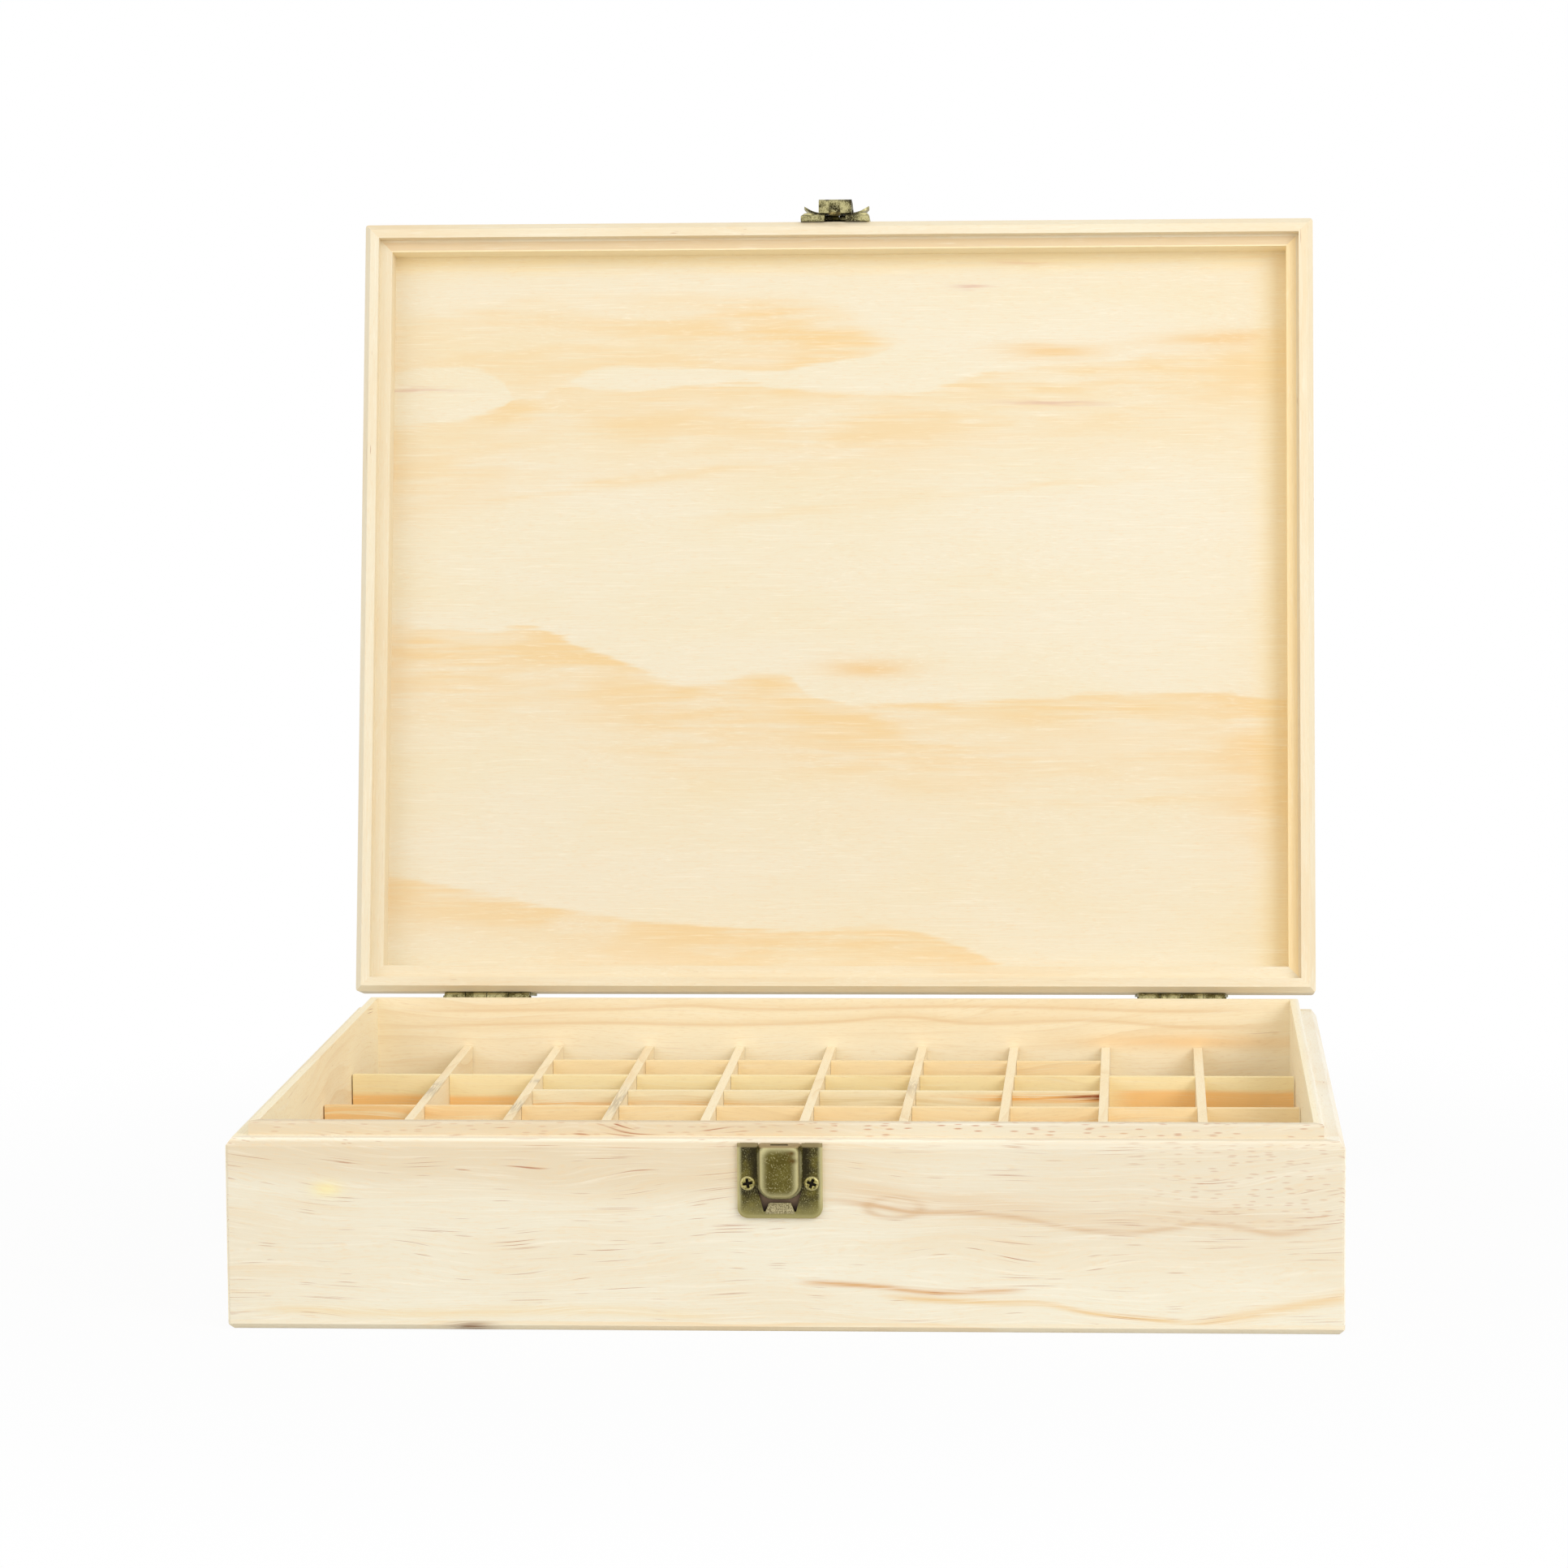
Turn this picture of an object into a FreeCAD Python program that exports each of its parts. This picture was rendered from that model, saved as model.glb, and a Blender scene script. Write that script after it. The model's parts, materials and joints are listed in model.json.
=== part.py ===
import FreeCAD, Part
import math
import os

# Pine art supply box: a shallow tray with a loose grid of dividers, and a hinged lid that stands open.
# Millimetres, +Z up. The origin is the middle of the tray's underside, and the front faces -Y.

# Carcase
box_width = 340.0
box_depth = 276.5
board_thickness = 9.4
panel_thickness = 3.0
panel_chamfer = 1.7
corner_rounding = 1.2

# Tray rim: a bevelled shoulder outside, and a rounded lip inside that the lid drops over
shoulder_height = 59.0
tray_bevel_run = 1.8
tray_bevel_drop = 2.5
lip_thickness = 3.1
lip_height = 4.4
lip_rounding = 0.9

# Lid
lid_board_height = 15.1
lid_bevel_run = 2.0
lid_bevel_drop = 2.2
seam_gap = 0.3
lip_side_room = 1.2
lip_head_room = 0.6
lid_opening_angle = 101.5

# Dividers: the outer columns at each end have cells that are two rows deep
column_count = 10
row_count = 8
outer_columns = 2
divider_thickness = 3.0
divider_height = 43.4
divider_end_gap = 0.5
lap_clearance = 0.1
grid_seat_gap = 0.05

# Hinges
hinge_inset = 47.0
hinge_width = 30.5
knuckle_count = 4
knuckle_radius = 2.0
knuckle_gap = 0.3
knuckle_standoff = 0.3
hinge_pin_radius = 0.9
hinge_pin_end = 0.4
pin_clearance = 0.05
pin_rise = 2.8
leaf_thickness = 0.9
leaf_flare = 1.2
leaf_margin = 1.1
leaf_screw_setback = 3.6
leaf_screw_spacing = 19.0
stop_length = 4.6
stop_gap = 0.1

# Screws
screw_head_height = 1.2
screw_head_slope = 0.7
head_sides = 16
shank_sides = 8
screw_shank_length = 6.5
screw_shank_radius = 1.0
screw_clearance = 0.05
hinge_screw_radius = 2.0
latch_screw_radius = 2.25

# Latch, shared by the catch on the tray and the hasp on the lid
latch_offset = -0.5
sheet = 0.9
latch_corner = 3.2
latch_edge_chamfer = 0.6
latch_screw_spacing = 19.4

# Catch
catch_width = 25.8
catch_height = 22.9
catch_stand = 1.8
catch_drop = 0.8
catch_screw_drop = 12.0
housing_width = 12.0
housing_height = 16.4
housing_corner = 2.4
housing_chamfer = 0.8
housing_flange = 1.4
flange_play = 0.1
housing_side_room = 0.6
housing_front_room = 0.4
ledge_reach = 0.5
window_foot_width = 9.8
window_foot = 2.1
window_taper = 6.2
tab_top_width = 6.6
tab_foot_width = 8.8
tab_height = 2.6
tab_lean = 0.8

# Hasp
hasp_width = 24.6
hasp_height = 14.4
hasp_stand = 2.4
hasp_rise = 0.6
hasp_opening = 7.6
hasp_opening_height = 5.6
hasp_screw_rise = 4.6
pivot_rise = 8.5
pivot_stand = 4.6
pivot_radius = 0.9
pivot_end = 0.3
lug_radius = 1.8
lug_play = 0.2

# Hasp lever: a folded cover with a barbed tongue below and two upswept thumb wings above
lever_width = 11.8
lever_stand = 8.0
lever_start = 1.0
lever_shoulder = 10.0
lever_end = 15.4
lever_end_stand = 6.4
lever_brow = 0.8
lever_play = 0.6
lever_travel = 6.0
tongue_width = 4.0
tongue_thickness = 0.9
tongue_stand = 2.3
tongue_root = 1.9
barb_reach = 0.6
barb_play = 0.3
barb_length = 1.6
slot_play = 0.15
slot_side_room = 0.7
wing_span = 23.4
wing_root_stand = 3.9
wing_middle_stand = 4.6
wing_tip_stand = 6.6
wing_clearance = 0.4
wing_corner = 1.8

# Hasp spring: a coil round the pivot with two straight legs
spring_wire = 0.5
spring_radius = 1.7
spring_pitch = 0.95
spring_turns = 1
spring_leg = 1.5

# How close two places must be to count as the same
same_place = 1e-4

# Places worked out from the sizes above
front_face = -box_depth / 2
back_face = box_depth / 2
lip_setback = board_thickness - lip_thickness
lip_top = shoulder_height + lip_height
rim_height = shoulder_height + seam_gap
rebate_setback = lip_setback - lip_side_room
rebate_depth = lip_height + lip_head_room - seam_gap
lid_ceiling = rim_height + lid_board_height
lid_top = lid_ceiling + panel_thickness
column_pitch = (box_width - 2 * board_thickness) / column_count
row_pitch = (box_depth - 2 * board_thickness) / row_count
grid_floor = panel_thickness + grid_seat_gap
grid_top = grid_floor + divider_height
lap_height = divider_height / 2
lap_half_width = divider_thickness / 2 + lap_clearance
hinge_reach = box_width / 2 - hinge_inset
hinge_y = back_face + knuckle_radius + knuckle_standoff
hinge_z = shoulder_height + pin_rise
leaf_height = lid_board_height - leaf_margin - (pin_rise - seam_gap)
catch_top = shoulder_height - catch_drop
catch_screw_height = catch_top - catch_screw_drop
hasp_bottom = rim_height + hasp_rise
hasp_screw_height = hasp_bottom + hasp_screw_rise
pivot_height = rim_height + pivot_rise
tongue_front = tongue_stand + tongue_thickness
barb_top = catch_top - sheet - barb_play
slot_back = tongue_stand - slot_play
lever_swing = math.tan(math.radians(lever_travel))
slot_front = tongue_front + (pivot_height - catch_top + sheet) * lever_swing + slot_play
housing_stand = slot_front + housing_front_room + sheet
lever_foot = hasp_stand + lever_play
wing_start = pivot_rise + pivot_radius + wing_clearance
wing_length = lever_end - wing_start


def vector(x, y, z):
    return FreeCAD.Vector(x, y, z)


def prism(points, sweep):
    """Sweep a closed polygon along a vector."""
    outline = Part.makePolygon(points + points[:1])
    return Part.Face(outline).extrude(sweep)


def block(x_low, x_high, y_low, y_high, z_low, z_high):
    """Make a box from its two corners."""
    return Part.makeBox(x_high - x_low, y_high - y_low, z_high - z_low, vector(x_low, y_low, z_low))


def rod(radius, x_low, x_high, y, z):
    """Make a round bar along X."""
    return Part.makeCylinder(radius, x_high - x_low, vector(x_low, y, z), vector(1, 0, 0))


def on_front(points, near, far):
    """Sweep an outline of (x, z) points out of the front face, between two distances from it."""
    corners = [vector(x, front_face - near, z) for x, z in points]
    return prism(corners, vector(0, near - far, 0))


def front_block(x_low, x_high, near, far, z_low, z_high):
    """Make a box on the front face, given by its distances from that face."""
    return block(x_low, x_high, front_face - far, front_face - near, z_low, z_high)


def side_profile(points, x_low, x_high):
    """Sweep an outline of (distance from the front face, z) points along X."""
    corners = [vector(x_low, front_face - stand, z) for stand, z in points]
    return prism(corners, vector(x_high - x_low, 0, 0))


def edges_at(shape, axis, place):
    """Pick the edges that lie in the plane where one coordinate has the given value."""
    picked = []
    for edge in shape.Edges:
        box = edge.BoundBox
        low = {"y": box.YMin, "z": box.ZMin}[axis]
        high = {"y": box.YMax, "z": box.ZMax}[axis]
        if abs(low - place) < same_place and abs(high - place) < same_place:
            picked.append(edge)
    return picked


def upright_edges(shape):
    """Pick the straight edges that run along Z."""
    return [edge for edge in shape.Edges if edge.BoundBox.XLength + edge.BoundBox.YLength < same_place]


def corners_at(shape, z):
    """Pick the edges at the given height that run along Y."""
    return [edge for edge in edges_at(shape, "z", z) if edge.BoundBox.XLength < same_place]


def rounded_plan(z_low, z_high):
    """Make a slab of the box's plan, with its upright corners rounded."""
    slab = block(-box_width / 2, box_width / 2, front_face, back_face, z_low, z_high)
    return slab.makeFillet(corner_rounding, upright_edges(slab))


def board(profile, length):
    """Sweep a board's end profile along X and mitre both ends. The outer face lies on Y = 0."""
    box = profile.BoundBox
    bar = profile.extrude(vector(length, 0, 0))
    bar.translate(vector(-length / 2, 0, 0))
    inner = length / 2 - board_thickness
    mitre = prism(
        [
            vector(-length / 2, 0, box.ZMin),
            vector(length / 2, 0, box.ZMin),
            vector(inner, board_thickness, box.ZMin),
            vector(-inner, board_thickness, box.ZMin),
        ],
        vector(0, 0, box.ZLength),
    )
    return bar.common(mitre)


def four_boards(profile):
    """Set four mitred boards round the plan and round their outer corners."""
    box = profile.BoundBox
    plan = rounded_plan(box.ZMin, box.ZMax)
    sides = {
        "front": (0, box_width, vector(0, front_face, 0)),
        "right": (90, box_depth, vector(box_width / 2, 0, 0)),
        "back": (180, box_width, vector(0, back_face, 0)),
        "left": (270, box_depth, vector(-box_width / 2, 0, 0)),
    }
    boards = {}
    for side, (turn, length, place) in sides.items():
        piece = board(profile, length)
        piece.rotate(vector(0, 0, 0), vector(0, 0, 1), turn)
        piece.translate(place)
        boards[side] = piece.common(plan)
    return boards


def tray_profile():
    """Outline of a tray board: bevel, shoulder, and lip with a rounded outer edge."""
    edge_middle = lip_rounding * (1 - math.sqrt(1 / 2))
    points = [
        vector(0, lip_setback + lip_rounding, lip_top),
        vector(0, board_thickness, lip_top),
        vector(0, board_thickness, panel_thickness),
        vector(0, 0, panel_thickness),
        vector(0, 0, shoulder_height - tray_bevel_drop),
        vector(0, tray_bevel_run, shoulder_height),
        vector(0, lip_setback, shoulder_height),
        vector(0, lip_setback, lip_top - lip_rounding),
    ]
    middle = vector(0, lip_setback + edge_middle, lip_top - edge_middle)
    rounding = Part.Arc(points[-1], middle, points[0]).toShape()
    straight = Part.makePolygon(points)
    return Part.Face(Part.Wire(straight.Edges + [rounding]))


def lid_profile():
    """Outline of a lid board: bevelled rim with a rebate inside it that clears the tray's lip."""
    rebate_top = rim_height + rebate_depth
    points = [
        vector(0, 0, rim_height + lid_bevel_drop),
        vector(0, lid_bevel_run, rim_height),
        vector(0, rebate_setback, rim_height),
        vector(0, rebate_setback, rebate_top),
        vector(0, board_thickness, rebate_top),
        vector(0, board_thickness, lid_ceiling),
        vector(0, 0, lid_ceiling),
    ]
    return Part.Face(Part.makePolygon(points + points[:1]))


def panel(z_low, z_high, chamfered):
    """Make a thin panel that covers the boards, with one face's edges chamfered."""
    slab = block(-box_width / 2, box_width / 2, front_face, back_face, z_low, z_high)
    slab = slab.makeChamfer(panel_chamfer, edges_at(slab, "z", chamfered))
    return slab.common(rounded_plan(z_low, z_high))


def column_line(number):
    """X of a cross divider, counted from the left."""
    return (number - column_count / 2) * column_pitch


def row_line(number):
    """Y of a long divider, counted from the back."""
    return back_face - board_thickness - number * row_pitch


def is_short(row):
    """Every other long divider leaves out the outer columns."""
    return row % 2 == 1


def crosses(column, row):
    """Tell whether a cross divider and a long divider meet."""
    inner = outer_columns <= column <= column_count - outer_columns
    return inner or not is_short(row)


def cross_divider(column):
    """Divider from front to back, with laps cut up from its lower edge."""
    x = column_line(column)
    half = divider_thickness / 2
    reach = box_depth / 2 - board_thickness - divider_end_gap
    plate = block(x - half, x + half, -reach, reach, grid_floor, grid_top)
    for row in range(1, row_count):
        if crosses(column, row):
            y = row_line(row)
            low = y - lap_half_width
            high = y + lap_half_width
            plate = plate.cut(block(x - half, x + half, low, high, grid_floor, grid_floor + lap_height))
    return plate


def long_divider(row):
    """Divider from left to right, with laps cut down from its upper edge."""
    y = row_line(row)
    half = divider_thickness / 2
    reach = box_width / 2 - board_thickness - divider_end_gap
    if is_short(row):
        reach = column_line(column_count - outer_columns) + half
    plate = block(-reach, reach, y - half, y + half, grid_floor, grid_top)
    lap_floor = grid_floor + lap_height - lap_clearance
    for column in range(1, column_count):
        if crosses(column, row):
            x = column_line(column)
            low = x - lap_half_width
            high = x + lap_half_width
            plate = plate.cut(block(low, high, y - half, y + half, lap_floor, grid_top))
    return plate


def ring(sides, radius, z):
    """Make a regular polygon round the Z axis."""
    turns = [2 * math.pi * number / sides for number in range(sides + 1)]
    return Part.makePolygon([vector(radius * math.cos(turn), radius * math.sin(turn), z) for turn in turns])


def screw(head_radius):
    """Screw with a sloping head. Its seat lies on Z = 0 and its shank points down."""
    head = Part.Face(ring(head_sides, head_radius, 0)).extrude(vector(0, 0, screw_head_height))
    head = head.makeChamfer(screw_head_slope, edges_at(head, "z", screw_head_height))
    shank = Part.Face(ring(shank_sides, screw_shank_radius, -screw_shank_length))
    shank = shank.extrude(vector(0, 0, screw_shank_length))
    return head.fuse(shank).removeSplitter()


def front_screw(x, z, stand):
    """Latch screw driven into the front face from the given distance."""
    piece = screw(latch_screw_radius)
    piece.rotate(vector(0, 0, 0), vector(1, 0, 0), 90)
    piece.translate(vector(x, front_face - stand, z))
    return piece


def back_screw(x, z):
    """Hinge screw driven into the back face through a leaf."""
    piece = screw(hinge_screw_radius)
    piece.rotate(vector(0, 0, 0), vector(1, 0, 0), -90)
    piece.translate(vector(x, back_face + leaf_thickness, z))
    return piece


def y_bore(x, z, y_low, y_high):
    """Round hole along Y that a screw's shank passes with its clearance."""
    radius = screw_shank_radius + screw_clearance
    return Part.makeCylinder(radius, y_high - y_low, vector(x, y_low, z), vector(0, 1, 0))


def front_bore(x, z, stand):
    """Hole for a latch screw, through the plate and into the board."""
    deep = front_face - stand + screw_shank_length + screw_clearance
    return y_bore(x, z, front_face - stand, deep)


def back_bore(x, z):
    """Hole for a hinge screw, through the leaf and into the board."""
    surface = back_face + leaf_thickness
    return y_bore(x, z, surface - screw_shank_length - screw_clearance, surface)


def knuckle_spans(middle, first):
    """X ranges of every other knuckle, starting at the given one."""
    pitch = hinge_width / knuckle_count
    start = middle - hinge_width / 2
    spans = []
    for number in range(first, knuckle_count, 2):
        low = start + number * pitch + knuckle_gap / 2
        spans.append((low, low + pitch - knuckle_gap))
    return spans


def hinge_leaf(middle, first, up):
    """Leaf on the back face with its knuckles. Up is +1 for the lid's leaf and -1 for the tray's."""
    clear = knuckle_radius + knuckle_standoff
    near = hinge_z + up * clear
    far = hinge_z + up * leaf_height
    half_near = hinge_width / 2
    half_far = half_near + leaf_flare
    leaf = prism(
        [
            vector(middle - half_near, back_face, near),
            vector(middle + half_near, back_face, near),
            vector(middle + half_far, back_face, far),
            vector(middle - half_far, back_face, far),
        ],
        vector(0, leaf_thickness, 0),
    )
    neck_near = back_face + knuckle_standoff
    neck_end = near + up * leaf_thickness
    low = min(hinge_z, neck_end)
    high = max(hinge_z, neck_end)
    for x_low, x_high in knuckle_spans(middle, first):
        neck = block(x_low, x_high, neck_near, neck_near + leaf_thickness, low, high)
        barrel = rod(knuckle_radius, x_low, x_high, hinge_y, hinge_z)
        leaf = leaf.fuse(neck).fuse(barrel)
    length = hinge_width + 2 * leaf_flare
    bore = rod(hinge_pin_radius + pin_clearance, middle - length / 2, middle + length / 2, hinge_y, hinge_z)
    leaf = leaf.cut(bore)
    for x in leaf_screw_columns(middle):
        leaf = leaf.cut(back_bore(x, leaf_screw_height(up)))
    return leaf.removeSplitter()


def leaf_screw_columns(middle):
    """X of a leaf's two screws."""
    return (middle - leaf_screw_spacing / 2, middle + leaf_screw_spacing / 2)


def leaf_screw_height(up):
    """Z of a leaf's screws with the lid closed."""
    return hinge_z + up * (leaf_height - leaf_screw_setback)


def stop_tails(middle, first):
    """Tails behind the tray's knuckles, which meet the lid's leaf when the lid stands open."""
    face = hinge_y - knuckle_radius - knuckle_standoff + leaf_thickness + stop_gap
    tails = []
    for x_low, x_high in knuckle_spans(middle, first):
        tail = block(x_low, x_high, face, face + leaf_thickness, hinge_z, hinge_z + stop_length)
        tails.append(open_lid(tail))
    return tails


def open_lid(shape):
    """Turn a closed lid's piece about the hinge pin to where it stands open."""
    shape.rotate(vector(0, hinge_y, hinge_z), vector(1, 0, 0), -lid_opening_angle)
    return shape


def tray_leaf(middle):
    """Tray's hinge leaf with the tails that stop the lid."""
    leaf = hinge_leaf(middle, 1, -1)
    for tail in stop_tails(middle, 1):
        leaf = leaf.fuse(tail)
    reach = hinge_width / 2
    bore = rod(hinge_pin_radius + pin_clearance, middle - reach, middle + reach, hinge_y, hinge_z)
    return leaf.cut(bore).removeSplitter()


def hinge_pin(middle):
    """Pin through both leaves, a little longer than the knuckles."""
    reach = hinge_width / 2 + hinge_pin_end
    return rod(hinge_pin_radius, middle - reach, middle + reach, hinge_y, hinge_z)


def dished_plate(width, z_low, z_high, stand, rounded_at):
    """Stamped plate on the front face: rounded corners at one end, a skirt all round, hollow behind."""
    outer = front_block(latch_offset - width / 2, latch_offset + width / 2, 0, stand, z_low, z_high)
    outer = outer.makeFillet(latch_corner, corners_at(outer, rounded_at))
    outer = outer.makeChamfer(latch_edge_chamfer, edges_at(outer, "y", front_face - stand))
    left = latch_offset - width / 2 + sheet
    right = latch_offset + width / 2 - sheet
    inner = front_block(left, right, 0, stand - sheet, z_low + sheet, z_high - sheet)
    inner_end = z_low + sheet if rounded_at == z_low else z_high - sheet
    return outer.cut(inner.makeFillet(latch_corner - sheet, corners_at(inner, inner_end)))


def latch_screw_columns():
    """X of the two screws of a latch plate."""
    return (latch_offset - latch_screw_spacing / 2, latch_offset + latch_screw_spacing / 2)


def catch_plate():
    """Lower latch plate: a window for the housing, a leaning tab below it, and ledges over the bevel."""
    bottom = catch_top - catch_height
    plate = dished_plate(catch_width, bottom, catch_top, catch_stand, bottom)
    window = housing_width / 2 + housing_side_room
    foot = window_foot_width / 2
    foot_height = bottom + window_foot
    taper_height = foot_height + window_taper
    outline = [
        (latch_offset - window, catch_top),
        (latch_offset - window, taper_height),
        (latch_offset - foot, foot_height),
        (latch_offset + foot, foot_height),
        (latch_offset + window, taper_height),
        (latch_offset + window, catch_top),
    ]
    plate = plate.cut(on_front(outline, 0, catch_stand))
    slope = side_profile(
        [
            (catch_stand - sheet, foot_height),
            (catch_stand, foot_height),
            (catch_stand - tab_lean, foot_height + tab_height),
            (catch_stand - sheet - tab_lean, foot_height + tab_height),
        ],
        latch_offset - tab_foot_width / 2,
        latch_offset + tab_foot_width / 2,
    )
    shape = [
        (latch_offset - tab_foot_width / 2, foot_height),
        (latch_offset + tab_foot_width / 2, foot_height),
        (latch_offset + tab_top_width / 2, foot_height + tab_height),
        (latch_offset - tab_top_width / 2, foot_height + tab_height),
    ]
    plate = plate.fuse(slope.common(on_front(shape, 0, catch_stand)))
    for side in (-1, 1):
        inner = latch_offset + side * (window + sheet)
        outer = latch_offset + side * (catch_width / 2 - sheet)
        low = min(inner, outer)
        high = max(inner, outer)
        plate = plate.fuse(front_block(low, high, -ledge_reach, 0, catch_top - sheet, catch_top))
    for x in latch_screw_columns():
        plate = plate.cut(front_bore(x, catch_screw_height, catch_stand))
    return plate.removeSplitter()


def catch_housing():
    """Raised pan that stands through the plate's window, with the tongue's slot in its top."""
    half = housing_width / 2
    bottom = catch_top - housing_height
    left = latch_offset - half
    right = latch_offset + half
    outer = front_block(left, right, 0, housing_stand, bottom, catch_top)
    outer = outer.makeFillet(housing_corner, corners_at(outer, bottom))
    outer = outer.makeChamfer(housing_chamfer, edges_at(outer, "y", front_face - housing_stand))
    floor = bottom + sheet
    roof = catch_top - sheet
    inner = front_block(left + sheet, right - sheet, 0, housing_stand - sheet, floor, roof)
    pan = outer.cut(inner.makeFillet(housing_corner - sheet, corners_at(inner, floor)))
    flange_low = bottom + housing_corner
    flange_high = roof - sheet
    flange_stand = catch_stand - sheet - flange_play
    for low, high in ((left - housing_flange, left + sheet), (right - sheet, right + housing_flange)):
        pan = pan.fuse(front_block(low, high, 0, flange_stand, flange_low, flange_high))
    pan = pan.fuse(front_block(left + sheet, right - sheet, -ledge_reach, 0, roof, catch_top))
    slot_left = latch_offset - tongue_width / 2 - slot_side_room
    slot_right = latch_offset + tongue_width / 2 + slot_side_room
    slot = front_block(slot_left, slot_right, slot_back, slot_front, roof, catch_top)
    return pan.cut(slot).removeSplitter()


def hasp_plate():
    """Upper latch plate: an opening for the tongue, and two lugs that hold the lever's pivot."""
    top = hasp_bottom + hasp_height
    plate = dished_plate(hasp_width, hasp_bottom, top, hasp_stand, top)
    half = hasp_opening / 2
    opening_top = hasp_bottom + hasp_opening_height
    plate = plate.cut(
        front_block(latch_offset - half, latch_offset + half, 0, hasp_stand, hasp_bottom, opening_top)
    )
    outer = lever_width / 2 - sheet - lug_play
    for side in (-1, 1):
        low = latch_offset + min(side * outer, side * (outer - sheet))
        high = low + sheet
        foot = pivot_height - lug_radius
        head = pivot_height + lug_radius
        post = front_block(low, high, hasp_stand - sheet, pivot_stand, foot, head)
        eye = rod(lug_radius, low, high, front_face - pivot_stand, pivot_height)
        plate = plate.fuse(post).fuse(eye)
    plate = plate.cut(pivot_bore())
    for x in latch_screw_columns():
        plate = plate.cut(front_bore(x, hasp_screw_height, hasp_stand))
    return plate.removeSplitter()


def pivot_bore():
    """Hole through the lugs and the lever for the pivot pin."""
    half = lever_width / 2
    radius = pivot_radius + pin_clearance
    return rod(radius, latch_offset - half, latch_offset + half, front_face - pivot_stand, pivot_height)


def hasp_pin():
    """Pivot pin of the lever, a little longer than the lever is wide."""
    half = lever_width / 2 + pivot_end
    y = front_face - pivot_stand
    return rod(pivot_radius, latch_offset - half, latch_offset + half, y, pivot_height)


def lever_cover():
    """Folded cover over the lugs, closed at the seam end and sloping down to its thumb end."""
    half = lever_width / 2
    start = rim_height + lever_start
    shoulder = rim_height + lever_shoulder
    end = rim_height + lever_end
    outer = side_profile(
        [
            (lever_foot, start),
            (lever_stand - lever_brow, start),
            (lever_stand, start + lever_brow),
            (lever_stand, shoulder),
            (lever_end_stand, end),
            (lever_foot + lever_play, end),
            (lever_foot, shoulder + lever_play),
        ],
        latch_offset - half,
        latch_offset + half,
    )
    inner = side_profile(
        [
            (0, start + sheet),
            (lever_stand - sheet, start + sheet),
            (lever_stand - sheet, shoulder),
            (lever_end_stand - sheet, end),
            (0, end),
        ],
        latch_offset - half + sheet,
        latch_offset + half - sheet,
    )
    return outer.cut(inner)


def lever_tongue():
    """Tongue under the cover's closed end, with a barb that hooks behind the catch's slot."""
    left = latch_offset - tongue_width / 2
    right = latch_offset + tongue_width / 2
    start = rim_height + lever_start
    root = start + tongue_root
    tip = barb_top - barb_length
    strip = side_profile(
        [
            (tongue_stand, root),
            (tongue_front, root),
            (tongue_front, tip),
            (tongue_stand, tip),
            (tongue_stand - barb_reach, barb_top - barb_play),
            (tongue_stand - barb_reach, barb_top),
            (tongue_stand, barb_top),
        ],
        left,
        right,
    )
    web = front_block(left, right, tongue_stand, lever_foot + sheet, start, start + sheet)
    return strip.fuse(web)


def lever_wing(side):
    """Upswept thumb wing beside the cover: a curved strip, cut to a rounded outline."""
    root = lever_width / 2 - sheet / 2
    tip = wing_span / 2
    z_low = rim_height + wing_start

    def at(reach, stand):
        return vector(latch_offset + side * reach, front_face - stand, z_low)

    def curve(lift):
        places = ((root, wing_root_stand), ((root + tip) / 2, wing_middle_stand), (tip, wing_tip_stand))
        return [at(reach, stand + lift) for reach, stand in places]

    under = curve(0)
    over = curve(sheet)
    sides = [Part.Arc(*under).toShape(), Part.Arc(*over).toShape()]
    ends = [Part.makeLine(under[0], over[0]), Part.makeLine(under[-1], over[-1])]
    section = Part.Face(Part.Wire(Part.__sortEdges__(sides + ends)))
    strip = section.extrude(vector(0, 0, wing_length))
    tip_x = latch_offset + side * tip
    root_x = latch_offset + side * root
    z_high = z_low + wing_length
    outline = front_block(min(root_x, tip_x), max(root_x, tip_x), 0, lever_stand, z_low, z_high)
    corners = [edge for edge in outline.Edges if edge.BoundBox.XLength + edge.BoundBox.ZLength < sheet]
    corners = [edge for edge in corners if abs(edge.BoundBox.Center.x - tip_x) < sheet]
    return strip.common(outline.makeFillet(wing_corner, corners))


def hasp_lever():
    """Whole lever: cover, tongue and wings as one folded piece."""
    lever = lever_cover().fuse(lever_tongue())
    for side in (-1, 1):
        lever = lever.fuse(lever_wing(side))
    return lever.cut(pivot_bore()).removeSplitter()


def hasp_spring():
    """Coil of square wire in half-turn arcs round the pivot, with a leg at each end."""
    y = front_face - pivot_stand
    half_turns = 2 * spring_turns + 1
    quarter = spring_pitch / 4
    start = latch_offset - half_turns * quarter

    def below(x):
        return vector(x, y + spring_radius, pivot_height)

    def above(x):
        return vector(x, y - spring_radius, pivot_height)

    edges = [Part.makeLine(below(start) + vector(0, 0, spring_leg), below(start))]
    x = start
    for number in range(half_turns):
        if number % 2 == 0:
            turn = (below(x), vector(x + quarter, y, pivot_height - spring_radius), above(x + 2 * quarter))
        else:
            turn = (above(x), vector(x + quarter, y, pivot_height + spring_radius), below(x + 2 * quarter))
        edges.append(Part.Arc(*turn).toShape())
        x = x + 2 * quarter
    edges.append(Part.makeLine(above(x), above(x) + vector(0, 0, spring_leg)))
    path = Part.Wire(edges)
    end = below(start) + vector(0, 0, spring_leg)
    half = spring_wire / 2
    section = Part.makePolygon(
        [
            end + vector(-half, -half, 0),
            end + vector(half, -half, 0),
            end + vector(half, half, 0),
            end + vector(-half, half, 0),
            end + vector(-half, -half, 0),
        ]
    )
    return path.makePipeShell([section], True, False)


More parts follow.
